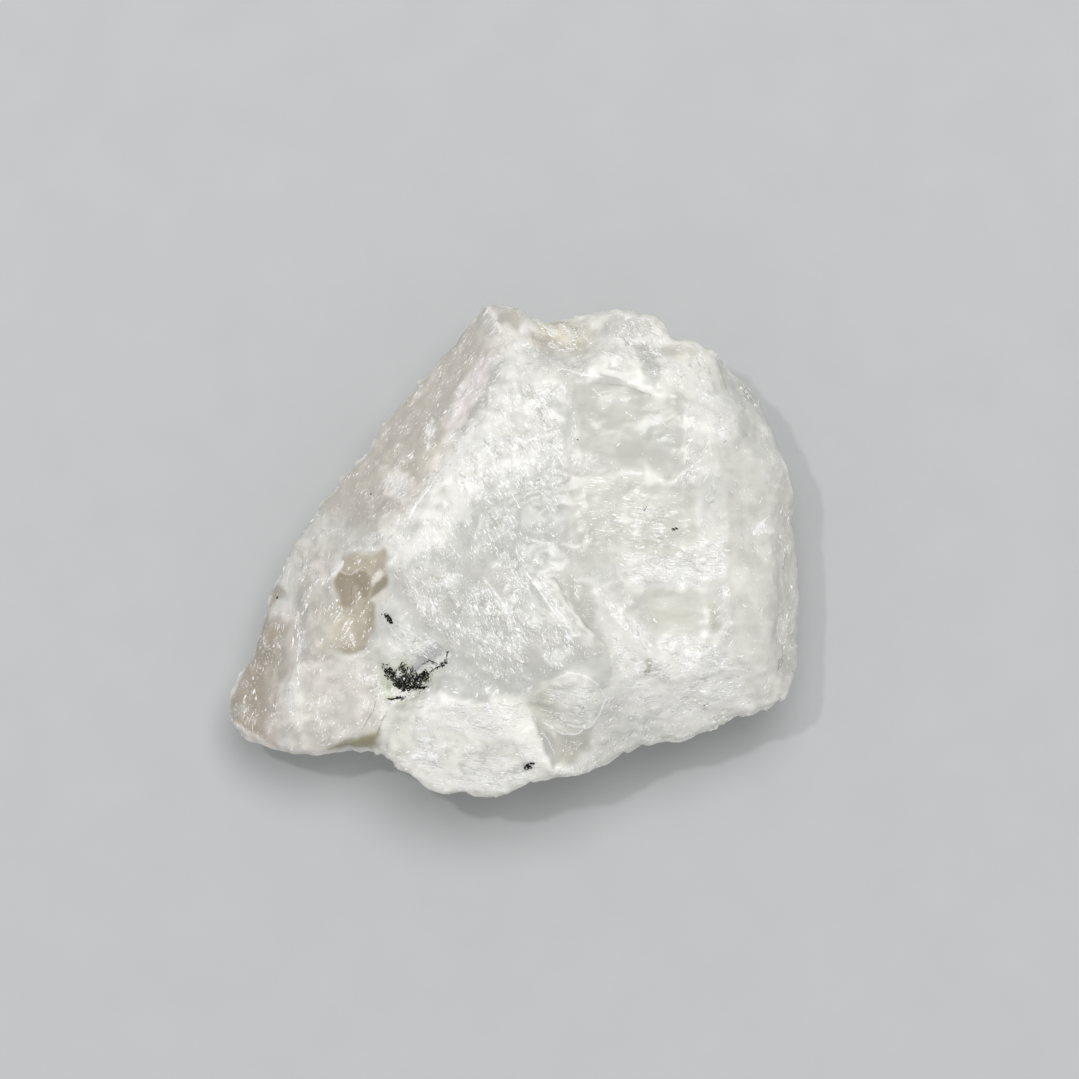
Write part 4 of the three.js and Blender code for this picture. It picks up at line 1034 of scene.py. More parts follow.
@dataclass
class Moonstone:
    """The stone: its refined surface, its painted skin and its finish.

    passes relax the surface after each split, and face_slope is how steep the face may be, as the upward
    part of the way out, where it starts to count as the face and where it counts in full.
    """

    solid: bpy.types.Object
    name: str = "moonstone_body"
    seed: int = 11
    splits: int = 2
    passes: Triple = (0.5, -0.52, 0.5)
    face_slope: Point = (0.05, 0.35)
    veil_drift: Cloud = Cloud(0.12, 7.0)
    wander: tuple[Cloud, ...] = (Cloud(0.35, 2.4, 3, 500.0), Cloud(0.35, 2.4, 3, 600.0))
    line_wander: float = 0.25
    line_wear: Cloud = Cloud(1.0, 0.9, 2, 1200.0)
    line_wear_range: Point = (-0.75, -0.1)
    veil_mottle: tuple[Cloud, ...] = (Cloud(0.13, 3.2, 3, 700.0), Cloud(0.12, 0.9, 2, 800.0))
    frost_mottle: tuple[Cloud, ...] = (Cloud(0.5, 1.5, 2, 900.0), Cloud(0.3, 4.0, 2, 1000.0))
    least_frost_mottle: float = 0.1
    warmth: Cloud = Cloud(0.5, 3.2, 3, 1100.0)
    warm_tint: Triple = (0.012, 0.0, -0.02)
    breaks: tuple[Break, ...] = (Break(3.8, 0.5), Break(1.8, 0.28), Break(0.9, 0.13))
    bowl_stretch: Triple = (1.0, 1.3, 1.15)
    clear_hackle: float = 0.22
    step_spacing: float = 1.9
    step_rise: float = 0.36
    step_lean: Triple = (0.35, -0.2, 0.15)
    step_stretch: Triple = (1.0, 1.6, 1.3)
    step_wander: Cloud = Cloud(3.2, 8.0, 2)
    step_front: float = 0.2
    step_share_on_face: float = 0.18
    grit: Cloud = Cloud(0.035, 0.9, 2, 30.0)
    foot_fade: Point = (0.02, 0.6)
    edge_passes: Triple = (0.8, 0.8, 0.8)
    edge_range: Point = (0.015, 0.09)
    edge_whitening: float = 0.25

    def build(self) -> bpy.types.Object:
        """Makes the refined stone.

        Returns:
            The mesh object, with its skin stored as attributes.
        """
        self.surface = StoneMesh.from_object(self.solid)
        for _ in range(self.splits):
            self.surface = self.surface.split()
            self.surface.relax(*self.passes)
        for nudge in NUDGES:
            nudge.push(self.surface.points)
        self.face_on = smooth(*self.face_slope, self.surface.normals()[:, 2])
        self.skin = self.paint()
        self.shatter()
        self.whiten_edges()
        return self.to_object()

    def paint(self) -> Skin:
        """Paints clouds and stains all over, and the features of the face.

        Returns:
            The skin.
        """
        points = self.surface.points
        waves = Waves(self.seed)
        skin = Skin.plain(len(points))
        skin.veil += self.veil_drift.over(points, waves)
        for patches in HIDDEN_PATCHES:
            patches.look.paint(skin, patches.share(points, waves, 1 - self.face_on))
        plan = points[:, :2] + np.stack([cloud.over(points, waves) for cloud in self.wander], axis=1)
        self.lift = np.zeros(len(points))
        for feature in FACE:
            log.debug("painting %s", feature.name)
            share = feature.share(plan) * self.face_on
            feature.look.paint(skin, share)
            self.lift += feature.look.lift * share
        whole = smooth(*self.line_wear_range, self.line_wear.over(points, waves))
        for line in HAIRLINES:
            line.draw(skin, mix(points[:, :2], plan, self.line_wander), self.face_on * whole)
        skin.veil += skin.mottle * sum(cloud.over(points, waves) for cloud in self.veil_mottle)
        unevenness = sum(cloud.over(points, waves) for cloud in self.frost_mottle)
        skin.frost += np.clip(skin.mottle + self.least_frost_mottle, 0.0, 1.0) * unevenness
        skin.tint *= 1.0 + self.warmth.over(points, waves)[:, None] * np.array(self.warm_tint)
        return skin

    def shatter(self) -> None:
        """Raises ledges, bowls and cleavage steps out of the smooth surface."""
        points = self.surface.points
        waves = Waves(self.seed + 1)
        hackle = mix(self.clear_hackle, 1.0, np.clip(self.skin.frost, 0.0, 1.0))
        height = self.lift.copy()
        for size in self.breaks:
            height += size.rise * hackle * waves.bowls(points * np.array(self.bowl_stretch), size.spacing)
        wander = self.step_wander.over(points * np.array(self.step_stretch), waves)
        level = (points @ np.array(self.step_lean) + wander) / self.step_spacing
        within = level - np.floor(level)
        step = self.step_rise * (smooth(0.0, self.step_front, within) - within)
        height += step * mix(1.0, self.step_share_on_face, self.face_on)
        height += hackle * self.grit.over(points, waves)
        free = smooth(*self.foot_fade, points[:, 2])
        points += self.surface.normals() * (height * free)[:, None]
        points[:, 2] = np.maximum(points[:, 2], 0.0)

    def whiten_edges(self) -> None:
        """Whitens the edges that stand out and crowds more painted glints onto them, and keeps flecks off
        the seams where the grain turns.
        """
        standing_out = smooth(*self.edge_range, self.surface.bulge(*self.edge_passes))
        self.skin.veil += self.edge_whitening * standing_out
        self.skin.frost += self.edge_whitening * standing_out
        self.skin.frost[self.surface.seams(self.skin.turn, self.skin.grain)] = -1.0

    def to_object(self) -> bpy.types.Object:
        """Puts the surface and its skin into a mesh object.

        Returns:
            The object.
        """
        skin = self.skin
        piece = new_object(self.name, (self.surface.points * MM).tolist(), self.surface.faces.tolist())
        piece.data.polygons.foreach_set("use_smooth", np.ones(len(piece.data.polygons), bool))
        for name, columns in {
            "body": np.stack([skin.veil, skin.frost, skin.dark], axis=1),
            "tint": skin.tint,
            "flow": skin.flow(self.surface.points),
            "mark": skin.mark,
        }.items():
            layer = piece.data.attributes.new(name, "FLOAT_VECTOR", "POINT")
            layer.data.foreach_set("vector", columns.astype(np.float32).ravel())
        piece.data.update()
        return piece

    def dress(self, piece: bpy.types.Object) -> None:
        """Gives the stone its finish and its place in the frame.

        Args:
            piece: the stone's object.
        """
        piece.data.materials.append(MilkyFeldspar().material())
        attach(piece, "root")
        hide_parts(NODE)


@dataclass(frozen=True)
class GrainBed:
    """A place where black grains crowd along a route, with lengths in millimetres."""

    name: str
    route: tuple[Point, ...]
    spread: float
    count: int
    lengths: Point
    turn: float
    scatter: float = 25.0
    girth: float = 0.34


BEDS: tuple[GrainBed, ...] = (
    GrainBed("left arm", ((-11.05, -10.18), (-10.79, -10.61), (-10.35, -11.32), (-9.91, -11.84)), 0.2,
        130, (0.12, 0.42), -62, 40),
    GrainBed("middle", ((-10, -11.75), (-9.3, -11.8), (-8.6, -11.84)), 0.19, 90, (0.12, 0.42), 10, 60),
    GrainBed("core", ((-9.82, -11.05), (-9.39, -11.4), (-8.86, -11.23)), 0.22, 90, (0.12, 0.36), 30, 70),
    GrainBed("upright needles", ((-9.82, -10.35), (-9.39, -10.18), (-9.04, -10.44)), 0.22, 34,
        (0.25, 0.7), 75, 22, 0.14),
    GrainBed("moss needles", ((-8.86, -10.88), (-8.16, -10.79), (-7.37, -10.79)), 0.2, 30, (0.25, 0.6),
        40, 60, 0.15),
    GrainBed("right knot", ((-8.68, -11.23), (-8.16, -10.96), (-7.54, -10.66)), 0.16, 80, (0.12, 0.4), 40,
        50),
    GrainBed("lower right lip", ((-8.77, -11.89), (-7.63, -11.84)), 0.08, 24, (0.15, 0.4), 0, 18),
    GrainBed("tail", ((-7.28, -10.53), (-6.75, -10.18), (-6.32, -9.96)), 0.03, 14, (0.2, 0.45), 35, 10,
        0.24),
    GrainBed("end of the tail", ((-6.27, -10), (-5.92, -9.61)), 0.1, 18, (0.14, 0.36), 35, 50),
    GrainBed("upper edge", ((-7.98, -9.87), (-7.24, -9.47), (-6.62, -9.87)), 0.03, 9, (0.2, 0.4), 10, 25,
        0.2),
    GrainBed("far end", ((-5.83, -8.99), (-5.63, -8.68)), 0.03, 6, (0.15, 0.4), 58, 12, 0.22),
    GrainBed("dash", ((-10.88, -12.91), (-10.35, -12.84), (-9.65, -12.86)), 0.05, 15, (0.15, 0.45), 0, 14,
        0.26),
    GrainBed("crystal by the brown window", ((-11.09, -5.48), (-10.83, -5.83), (-10.6, -6.23)), 0.07, 16,
        (0.25, 0.5), -55, 25, 0.5),
    GrainBed("speck on the tongue", ((1.01, -18.73), (1.62, -18.64)), 0.1, 16, (0.14, 0.5), 25, 50),
    GrainBed("speck in the fibres", ((13.77, 1.91), (14.21, 1.93)), 0.03, 5, (0.2, 0.4), -6, 8, 0.26),
    GrainBed("small speck in the fibres", ((11.32, 3.51), (11.49, 3.86)), 0.02, 3, (0.2, 0.36), 55, 12,
        0.2),
    GrainBed("dots over the middle", ((2.63, 12.28), (6.49, 8.77)), 0, 2, (0.14, 0.2), 20),
    GrainBed("dot on the left slope", ((-10.18, 8.6), (-10.09, 8.51)), 0.02, 1, (0.18, 0.22), 20),
    GrainBed("dot over the brown window", ((-12.54, 5), (-12.46, 5)), 0.02, 1, (0.2, 0.26), 50),
    GrainBed("dots on the far left", ((-20.88, -4.04), (-20.83, -4.17)), 0.03, 3, (0.16, 0.26), 60),
    GrainBed("dot at the lower right", ((16.58, -13.42), (16.62, -13.42)), 0, 1, (0.18, 0.22), 20),
)


@dataclass
class TourmalineGrains:
    """The black mineral grains that are grown into the stone's face.

    A grain is a six-sided crystal. The ranges are shares of its radius or half length, standing is how far
    its long axis lies over the stone, in radii, and tilt is how far that axis leans out of the surface.
    """

    SIDES = 6

    ground: StoneMesh
    name: str = "tourmaline_grains"
    seed: int = 5
    radius_range: Point = (0.75, 1.3)
    reach_range: Point = (0.8, 1.1)
    shoulder_range: Point = (0.68, 0.92)
    corner_scatter: float = 14.0
    standing: float = 0.24
    tilt: float = 0.3

    def build(self) -> bpy.types.Object:
        """Makes every grain and joins them in one object.

        Returns:
            The mesh object.
        """
        draw = np.random.default_rng(self.seed)
        tree = self.ground.tree()
        points: list[np.ndarray] = []
        for bed in BEDS:
            route = np.array(bed.route)
            for share in (np.arange(bed.count) + 0.5) / bed.count * (len(route) - 1):
                step = min(int(share), len(route) - 2)
                place = mix(route[step], route[step + 1], share - step) + draw.normal(0, bed.spread, 2)
                turn = math.radians(bed.turn + draw.normal(0, bed.scatter))
                length = draw.uniform(*bed.lengths)
                radius = length * bed.girth / 2 * draw.uniform(*self.radius_range)
                points.append(self.crystal(draw, tree, place, turn, length, radius))
        starts = len(points[0]) * np.arange(len(points))[:, None, None]
        faces = (starts + np.array(self.crystal_faces())).reshape(-1, 3)
        return new_object(self.name, (np.concatenate(points) * MM).tolist(), faces.tolist())

    def crystal(
        self,
        draw: np.random.Generator,
        tree: BVHTree,
        place: np.ndarray,
        turn: float,
        length: float,
        radius: float,
    ) -> np.ndarray:
        """The points of one crystal, lying half sunk in the stone.

        Args:
            draw: the source of the crystal's irregularity.
            tree: the stone's surface.
            place: where it lies on the ground plan.
            turn: the way that it points, in radians.
            length: from tip to tip, in millimetres.
            radius: from the long axis to a corner, in millimetres.

        Returns:
            A ring of points, a second ring, and the two tips.
        """
        hit, normal = ground_under(place, tree)
        along = Vector((math.cos(turn), math.sin(turn), 0.0))
        along = (along - along.dot(normal) * normal + draw.normal(0, self.tilt) * normal).normalized()
        side = along.cross(normal).normalized()
        over = side.cross(along)
        centre = hit + normal * radius * self.standing
        points = []
        for end in (-1, 1):
            for corner in range(self.SIDES):
                scatter = draw.uniform(-self.corner_scatter, self.corner_scatter)
                angle = math.radians(360 / self.SIDES * corner + scatter)
                reach = radius * draw.uniform(*self.reach_range)
                back = end * length / 2 * draw.uniform(*self.shoulder_range)
                rim = side * reach * math.cos(angle) + over * reach * math.sin(angle)
                points.append(centre + along * back + rim)
        points += [centre + along * end * length / 2 for end in (-1, 1)]
        return np.array([tuple(point) for point in points])

    def crystal_faces(self) -> list[Face]:
        """The triangles between a crystal's points.

        Returns:
            Three point numbers for each triangle.
        """
        first, second = 2 * self.SIDES, 2 * self.SIDES + 1
        faces = []
        for near in range(self.SIDES):
            following = (near + 1) % self.SIDES
            far, far_following = self.SIDES + near, self.SIDES + following
            faces += [(near, following, far_following), (near, far_following, far)]
            faces += [(first, following, near), (second, far, far_following)]
        return faces

    def dress(self, piece: bpy.types.Object) -> None:
        """Gives the grains their finish and their place in the frame.

        Args:
            piece: the grains' object.
        """
        piece.data.materials.append(BlackTourmaline().material())
        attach(piece, "root")


@dataclass
class FeldsparChips:
    """The small bright chips that stand on the stone's broken faces, with lengths in millimetres.

    lowest is the height under which none are strewn. slip and aside are how far the chips of a crowd
    scatter along and across its turn. width_range and crest_range are shares of a chip's half length and
    of its half width, and skew is how far its corners slip along it.
    """

    RIM = 4

    ground: StoneMesh
    skin: Skin
    name: str = "feldspar_chips"
    seed: int = 23
    count: int = 11000
    crowd: int = 5
    length: float = 0.23
    length_spread: float = 0.45
    crowd_length_spread: float = 0.35
    lowest: float = 0.6
    plain_weight: float = 0.02
    most_frost: float = 1.3
    turn_scatter: float = 24.0
    slip: float = 0.2
    aside: float = 0.06
    tilt: float = 0.16
    rise: float = 0.1
    width_range: Point = (0.2, 0.45)
    crest_range: Point = (0.4, 0.9)
    skew: float = 0.4

    def build(self) -> bpy.types.Object:
        """Makes every chip and joins them in one object.

        Returns:
            The mesh object.
        """
        draw = np.random.default_rng(self.seed)
        points = np.concatenate([self.strewn(draw), self.placed(draw)])
        crest, root = self.RIM, self.RIM + 1
        pairs = [(corner, (corner + 1) % self.RIM) for corner in range(self.RIM)]
        sides = [(near, far, crest) for near, far in pairs] + [(far, near, root) for near, far in pairs]
        faces = ((self.RIM + 2) * np.arange(len(points))[:, None, None] + np.array(sides)).reshape(-1, 3)
        return new_object(self.name, (points.reshape(-1, 3) * MM).tolist(), faces.tolist())

    def strewn(self, draw: np.random.Generator) -> np.ndarray:
        """Chips strewn over the whole stone, most where it is frosted.

        Args:
            draw: the source of their places and their irregularity.

        Returns:
            The points of each chip.
        """
        corners = self.ground.points[self.ground.faces]
        across = np.cross(corners[:, 1] - corners[:, 0], corners[:, 2] - corners[:, 0])
        area = np.linalg.norm(across, axis=1)
        frost = np.clip(self.skin.frost[self.ground.faces].mean(axis=1), 0.0, self.most_frost)
        weight = area * (self.plain_weight + frost**3) * (corners[:, :, 2].min(axis=1) > self.lowest)
        chosen = draw.choice(len(area), self.count, p=weight / weight.sum())
        centres = np.einsum("ij,ijk->ik", draw.dirichlet((1.0, 1.0, 1.0), self.count), corners[chosen])
        normals = across[chosen] / area[chosen, None]
        turns = self.skin.turn[self.ground.faces[chosen, 0]] + draw.normal(0, self.turn_scatter, self.count)
        lengths = self.length * draw.lognormal(0.0, self.length_spread, self.count)
        return self.chips(draw, centres, normals, turns, lengths)

    def placed(self, draw: np.random.Generator) -> np.ndarray:
        """Chips in small crowds at the places of the sparks.

        Args:
            draw: the source of their scatter and their irregularity.

        Returns:
            The points of each chip.
        """
        tree = self.ground.tree()
        found = []
        for group in SPARKS:
            way = np.array([math.cos(math.radians(group.turn)), math.sin(math.radians(group.turn))])
            for place in np.repeat(np.array(group.places), self.crowd, axis=0):
                slip, aside = draw.normal(0, self.slip), draw.normal(0, self.aside)
                hit, normal = ground_under(place + slip * way + aside * way[::-1], tree)
                turn = group.turn + draw.normal(0, self.turn_scatter)
                if hit is not None:
                    found.append((*hit, *normal, turn, group.length))
        rows = np.array(found)
        lengths = rows[:, 7] * draw.lognormal(0.0, self.crowd_length_spread, len(rows))
        return self.chips(draw, rows[:, :3], rows[:, 3:6], rows[:, 6], lengths)

    def chips(
        self,
        draw: np.random.Generator,
        centres: np.ndarray,
        normals: np.ndarray,
        turns: np.ndarray,
        lengths: np.ndarray,
    ) -> np.ndarray:
        """The points of each chip: an end, a side, an end, a side, the crest and the root.

        Args:
            draw: the source of the chips' irregularity.
            centres: where the chips lie, in millimetres.
            normals: the way out of the stone at each.
            turns: the way that each points.
            lengths: from end to end, in millimetres.

        Returns:
            Six points for each chip.
        """
        count = len(centres)
        upright = normals + draw.normal(0, self.tilt, (count, 3))
        upright /= np.linalg.norm(upright, axis=1)[:, None]
        angle = np.radians(turns)
        along = np.stack([np.cos(angle), np.sin(angle), draw.normal(0, self.rise, count)], axis=1)
        along -= np.einsum("ij,ij->i", along, upright)[:, None] * upright
        along *= (lengths / 2 / np.linalg.norm(along, axis=1))[:, None]
        side = np.cross(upright, along) * draw.uniform(*self.width_range, count)[:, None]
        crest = upright * (np.linalg.norm(side, axis=1) * draw.uniform(*self.crest_range, count))[:, None]
        slips = draw.uniform(-self.skew, self.skew, (3, count, 1))
        rim = [along, side + slips[0] * along, -along, -side + slips[1] * along]
        return centres[:, None] + np.stack([*rim, crest + slips[2] * along, -crest], axis=1)

    def dress(self, piece: bpy.types.Object) -> None:
        """Gives the chips their finish and their place in the frame.

        Args:
            piece: the chips' object.
        """
        piece.data.materials.append(BrightFeldspar().material())
        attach(piece, "root")


@dataclass(frozen=True)
class Cut:
    """Where a noise turns into flecks: the edge, the step's width, and how far a pull lowers the edge."""

    edge: float
    width: float
    pull: float


class Graph:
    """A material's node tree, with short calls for the nodes that the finishes use."""

    def __init__(self, name: str) -> None:
        """Starts a material with one shader.

        Args:
            name: the material's name.
        """
        self.material = bpy.data.materials.new(name)
        self.material.use_nodes = True
        self.tree = self.material.node_tree
        self.shader = self.tree.nodes["Principled BSDF"]

    def node(self, kind: str, settings: dict[str, str] | None = None, **inputs: object) -> bpy.types.Node:
        """Adds a node.

        Args:
            kind: Blender's name for the node's type.
            settings: the node's own properties.
            inputs: sockets by name, with spaces as underscores, each a value or a socket to link from.

        Returns:
            The node.
        """
        made = self.tree.nodes.new(kind)
        for key, value in (settings or {}).items():
            setattr(made, key, value)
        for key, value in inputs.items():
            self.feed(made.inputs[key.replace("_", " ")], value)
        return made

    def feed(self, socket: Socket, value: object) -> None:
        """Links another socket into a socket, or sets its value.

        Args:
            socket: the socket to fill.
            value: the socket to link from, or the value.
        """
        if isinstance(value, Socket):
            self.tree.links.new(value, socket)
        else:
            socket.default_value = value

    def shade(self, **inputs: object) -> None:
        """Sets the shader's own sockets, by name with spaces as underscores."""
        for key, value in inputs.items():
            self.feed(self.shader.inputs[key.replace("_", " ")], value)

    def math(self, operation: str, *values: object, kind: str = "ShaderNodeMath") -> Socket:
        """The result of a sum.

        Args:
            operation: Blender's name for the sum.
            values: what goes in, in order.
            kind: the node's type, for numbers or for vectors.

        Returns:
            The result's socket.
        """
        made = self.node(kind, {"operation": operation})
        for socket, value in zip(made.inputs, values):
            self.feed(socket, value)
        return made.outputs[0]

    def total(self, *values: object) -> Socket:
        """The sum of several numbers."""
        return reduce(partial(self.math, "ADD"), values)

    def times(self, *values: object) -> Socket:
        """The product of several numbers."""
        return reduce(partial(self.math, "MULTIPLY"), values)

    def most(self, *values: object) -> Socket:
        """The greatest of several numbers."""
        return reduce(partial(self.math, "MAXIMUM"), values)

    def scaled(self, vector: object, factors: Triple, move: float = 0.0) -> Socket:
        """A vector times three factors, and moved by the same length along each axis."""
        return self.math("MULTIPLY_ADD", vector, factors, (move, move, move), kind="ShaderNodeVectorMath")

    def ramp(self, value: object, low: object, high: object) -> Socket:
        """The smooth step of a number.

        Args:
            value: the number.
            low: where the result is 0.
            high: where it is 1.

        Returns:
            The result's socket.
        """
        made = self.node("ShaderNodeMapRange", {"interpolation_type": "SMOOTHSTEP"})
        for name, given in (("Value", value), ("From Min", low), ("From Max", high)):
            self.feed(made.inputs[name], given)
        return made.outputs["Result"]

    def cut(self, value: object, cut: Cut, pull: Socket) -> Socket:
        """1 where a value passes the edge of a cut, which a pull lowers, and 0 below it."""
        edge = self.total(cut.edge, self.times(pull, -cut.pull))
        return self.ramp(value, edge, self.total(edge, cut.width))

    def blend(self, share: object, first: object, second: object, way: str = "MIX") -> Socket:
        """A blend of two colours.

        Args:
            share: how much of the second colour is taken.
            first: the first colour.
            second: the second colour.
            way: Blender's name for the way of blending.

        Returns:
            The result's socket.
        """
        made = self.node("ShaderNodeMix", {"data_type": "RGBA", "blend_type": way})
        for name, given in (("Factor_Float", share), ("A_Color", first), ("B_Color", second)):
            self.feed(next(socket for socket in made.inputs if socket.identifier == name), given)
        return next(socket for socket in made.outputs if socket.identifier == "Result_Color")

    def attribute(self, name: str) -> Socket:
        """An attribute of the mesh, as three numbers in one socket."""
        return self.node("ShaderNodeAttribute", {"attribute_name": name}).outputs["Vector"]

    def parts(self, name: str) -> list[Socket]:
        """The three numbers of an attribute, each in its own socket."""
        return list(self.node("ShaderNodeSeparateXYZ", Vector=self.attribute(name)).outputs)

    def noise(self, place: object, detail: float, roughness: float = 0.5, bend: float = 0.0) -> Socket:
        """Noise of about 0.3 to 0.7.

        Args:
            place: the places, as a vector whose unit is one feature.
            detail: how many finer layers it has.
            roughness: how strong each layer is against the one before.
            bend: how far the pattern is distorted.

        Returns:
            The noise's socket.
        """
        made = self.node("ShaderNodeTexNoise", Vector=place, Scale=1.0, Detail=detail, Roughness=roughness)
        self.feed(made.inputs["Distortion"], bend)
        return made.outputs[0]

    def grains(self, size: float, detail: float, roughness: float = 0.5) -> Socket:
        """Noise whose features are a size in millimetres.

        Args:
            size: how long the features are.
            detail: how many finer layers it has.
            roughness: how strong each layer is against the one before.

        Returns:
            The noise's socket.
        """
        spot = self.node("ShaderNodeTexCoord").outputs["Object"]
        scale = 1 / (size * MM)
        return self.noise(self.scaled(spot, (scale, scale, scale)), detail, roughness)


class Finish:
    """Base of the finishes: each makes its own material."""

    @staticmethod
    def solid(colour: Triple) -> tuple[float, float, float, float]:
        """A display colour as a shader's linear colour."""
        return (*linear(colour), 1.0)

    def material(self) -> bpy.types.Material:
        """The finish as a Blender material."""
        raise NotImplementedError


@dataclass(frozen=True)
class MilkyFeldspar(Finish):
    """Milky feldspar: grey and clear between white veils, with bright flecks on its broken faces. The
    flecks are painted glints, with a painted glow round them and painted shade in the gaps between them.

    Colours are display values. A cut says where a noise turns into flecks of one kind, a range is the two
    ends of a ramp, and a share is how strongly a layer covers the ones below it.
    """

    clear: Triple = (196, 196, 190)
    closed: Triple = (239, 238, 232)
    glint_white: Triple = (254, 254, 253)
    gap_shade: Triple = (168, 164, 156)
    crack: Triple = (120, 122, 118)
    grain_black: Triple = (30, 34, 28)
    grit_size: float = 0.17
    wisp_scale: float = 0.4
    wisp_share: float = 0.6
    stroke_scale: Triple = (1.3, 3.6, 3.6)
    stroke_shift: float = 9.0
    stroke_wisps: float = 0.3
    broken_range: Point = (0.1, 0.9)
    gap_shade_range: Point = (0.45, 0.34)
    gap_shade_share: float = 0.4
    halo_cut: Cut = Cut(0.67, 0.11, 0.17)
    halo_share: float = 0.5
    chip_cut: Cut = Cut(0.77, 0.022, 0.17)
    stroke_cut: Cut = Cut(0.73, 0.03, 0.1)
    speck_cut: Cut = Cut(0.745, 0.03, 0.1)
    black_cut: Cut = Cut(0.8, 0.05, 0.45)
    black_share: float = 0.95
    curl_level: float = 0.47
    curl_range: Point = (0.016, 0.005)
    curl_frost: Point = (0.3, 0.9)
    curl_share: float = 0.75
    line_wobble: float = 4.0
    line_range: Point = (1.5, 0.6)
    crack_and_shadow_share: float = 0.6
    dim_range: Point = (0.35, 0.6)
    dimmest: float = 0.75
    roughness: float = 0.36
    glint_roughness: float = -0.1
    wisp_roughness: float = 0.4
    chip_relief: float = 0.02
    hackle_relief: float = 0.12
    subsurface_share: float = 0.35
    subsurface_radius: Triple = (1.0, 0.97, 0.9)
    depth_mm: float = 1.2
    ior: float = 1.53

    def material(self) -> bpy.types.Material:
        """The finish as a Blender material.

        Returns:
            The material, which reads the stone's attributes body, tint, flow and mark.
        """
        graph = Graph("milky_feldspar")
        veil, frost, dark = graph.parts("body")
        aside, reach, tone = graph.parts("mark")
        flow = graph.attribute("flow")
        hackle = graph.noise(flow, 4.0, 0.62, 0.9)
        wisp_place = graph.scaled(flow, (self.wisp_scale,) * 3)
        wisps = graph.math("SUBTRACT", graph.noise(wisp_place, 2.0, 0.5, 0.4), 0.5)
        stroke = graph.noise(graph.scaled(flow, self.stroke_scale, self.stroke_shift), 1.0)
        grit = graph.grains(self.grit_size, 1.0)
        broken = graph.ramp(frost, *self.broken_range)

        cover = graph.total(veil, graph.times(wisps, self.wisp_share))
        body = graph.blend(graph.ramp(cover, 0.0, 1.0), self.solid(self.clear), self.solid(self.closed))
        body = graph.blend(1.0, body, graph.attribute("tint"), "MULTIPLY")
        # Painted shade: the low places of the hackle noise on broken faces are darkened as small shadows
        # between the painted glints.
        gap_shades = graph.times(broken, graph.ramp(hackle, *self.gap_shade_range), self.gap_shade_share)
        body = graph.blend(gap_shades, body, self.solid(self.gap_shade))
        # Painted glow: a soft milky white round the painted glints.
        halo = graph.times(graph.cut(hackle, self.halo_cut, frost), self.halo_share)
        body = graph.blend(halo, body, self.solid(self.closed))

        # Painted glints: chips, curls, strokes and specks are white flecks painted into the colour for
        # light caught by small cleavage facets.
        chips = graph.cut(hackle, self.chip_cut, frost)
        from_curl = graph.math("ABSOLUTE", graph.math("SUBTRACT", hackle, self.curl_level))
        curls = graph.times(
            graph.ramp(from_curl, *self.curl_range), graph.ramp(frost, *self.curl_frost), self.curl_share
        )
        stroke = graph.total(stroke, graph.times(wisps, self.stroke_wisps))
        strokes = graph.cut(stroke, self.stroke_cut, frost)
        bright = graph.times(graph.ramp(grit, *self.dim_range), 1.0 - self.dimmest)
        flecks = graph.times(graph.most(chips, curls, strokes), graph.total(self.dimmest, bright))
        specks = graph.cut(grit, self.speck_cut, frost)

        wobble = graph.times(graph.math("SUBTRACT", grit, 0.5), self.line_wobble)
        line = graph.total(graph.math("ABSOLUTE", aside), wobble)
        line = graph.times(graph.ramp(line, *self.line_range), reach)
        # Pale hairlines are drawn in the same painted glint white.
        flecks = graph.most(flecks, specks, graph.times(line, graph.most(tone, 0.0)))
        body = graph.blend(flecks, body, self.solid(self.glint_white))
        # Dark hairlines in the crack colour: real cracks, and painted shadow lines such as the one beside
        # the rib.
        cracks_and_shadow_lines = graph.times(line, graph.most(graph.times(tone, -self.crack_and_shadow_share), 0.0))
        body = graph.blend(cracks_and_shadow_lines, body, self.solid(self.crack))
        black = graph.times(graph.cut(grit, self.black_cut, dark), self.black_share)
        body = graph.blend(black, body, self.solid(self.grain_black))

        glint_gloss = graph.times(flecks, self.glint_roughness)
        rough = graph.total(self.roughness, glint_gloss, graph.times(wisps, self.wisp_roughness))
        fracture = graph.times(graph.math("SUBTRACT", hackle, 0.5), broken, self.hackle_relief)
        relief = graph.total(graph.times(chips, self.chip_relief), fracture)
        bump = graph.node("ShaderNodeBump", Strength=1.0, Distance=MM, Height=relief)
        graph.shade(Base_Color=body, Roughness=rough, Normal=bump.outputs[0])
        graph.shade(IOR=self.ior, Specular_IOR_Level=0.5)
        graph.shade(Subsurface_Weight=self.subsurface_share, Subsurface_Radius=self.subsurface_radius)
        graph.shade(Subsurface_Scale=self.depth_mm * MM)
        return graph.material


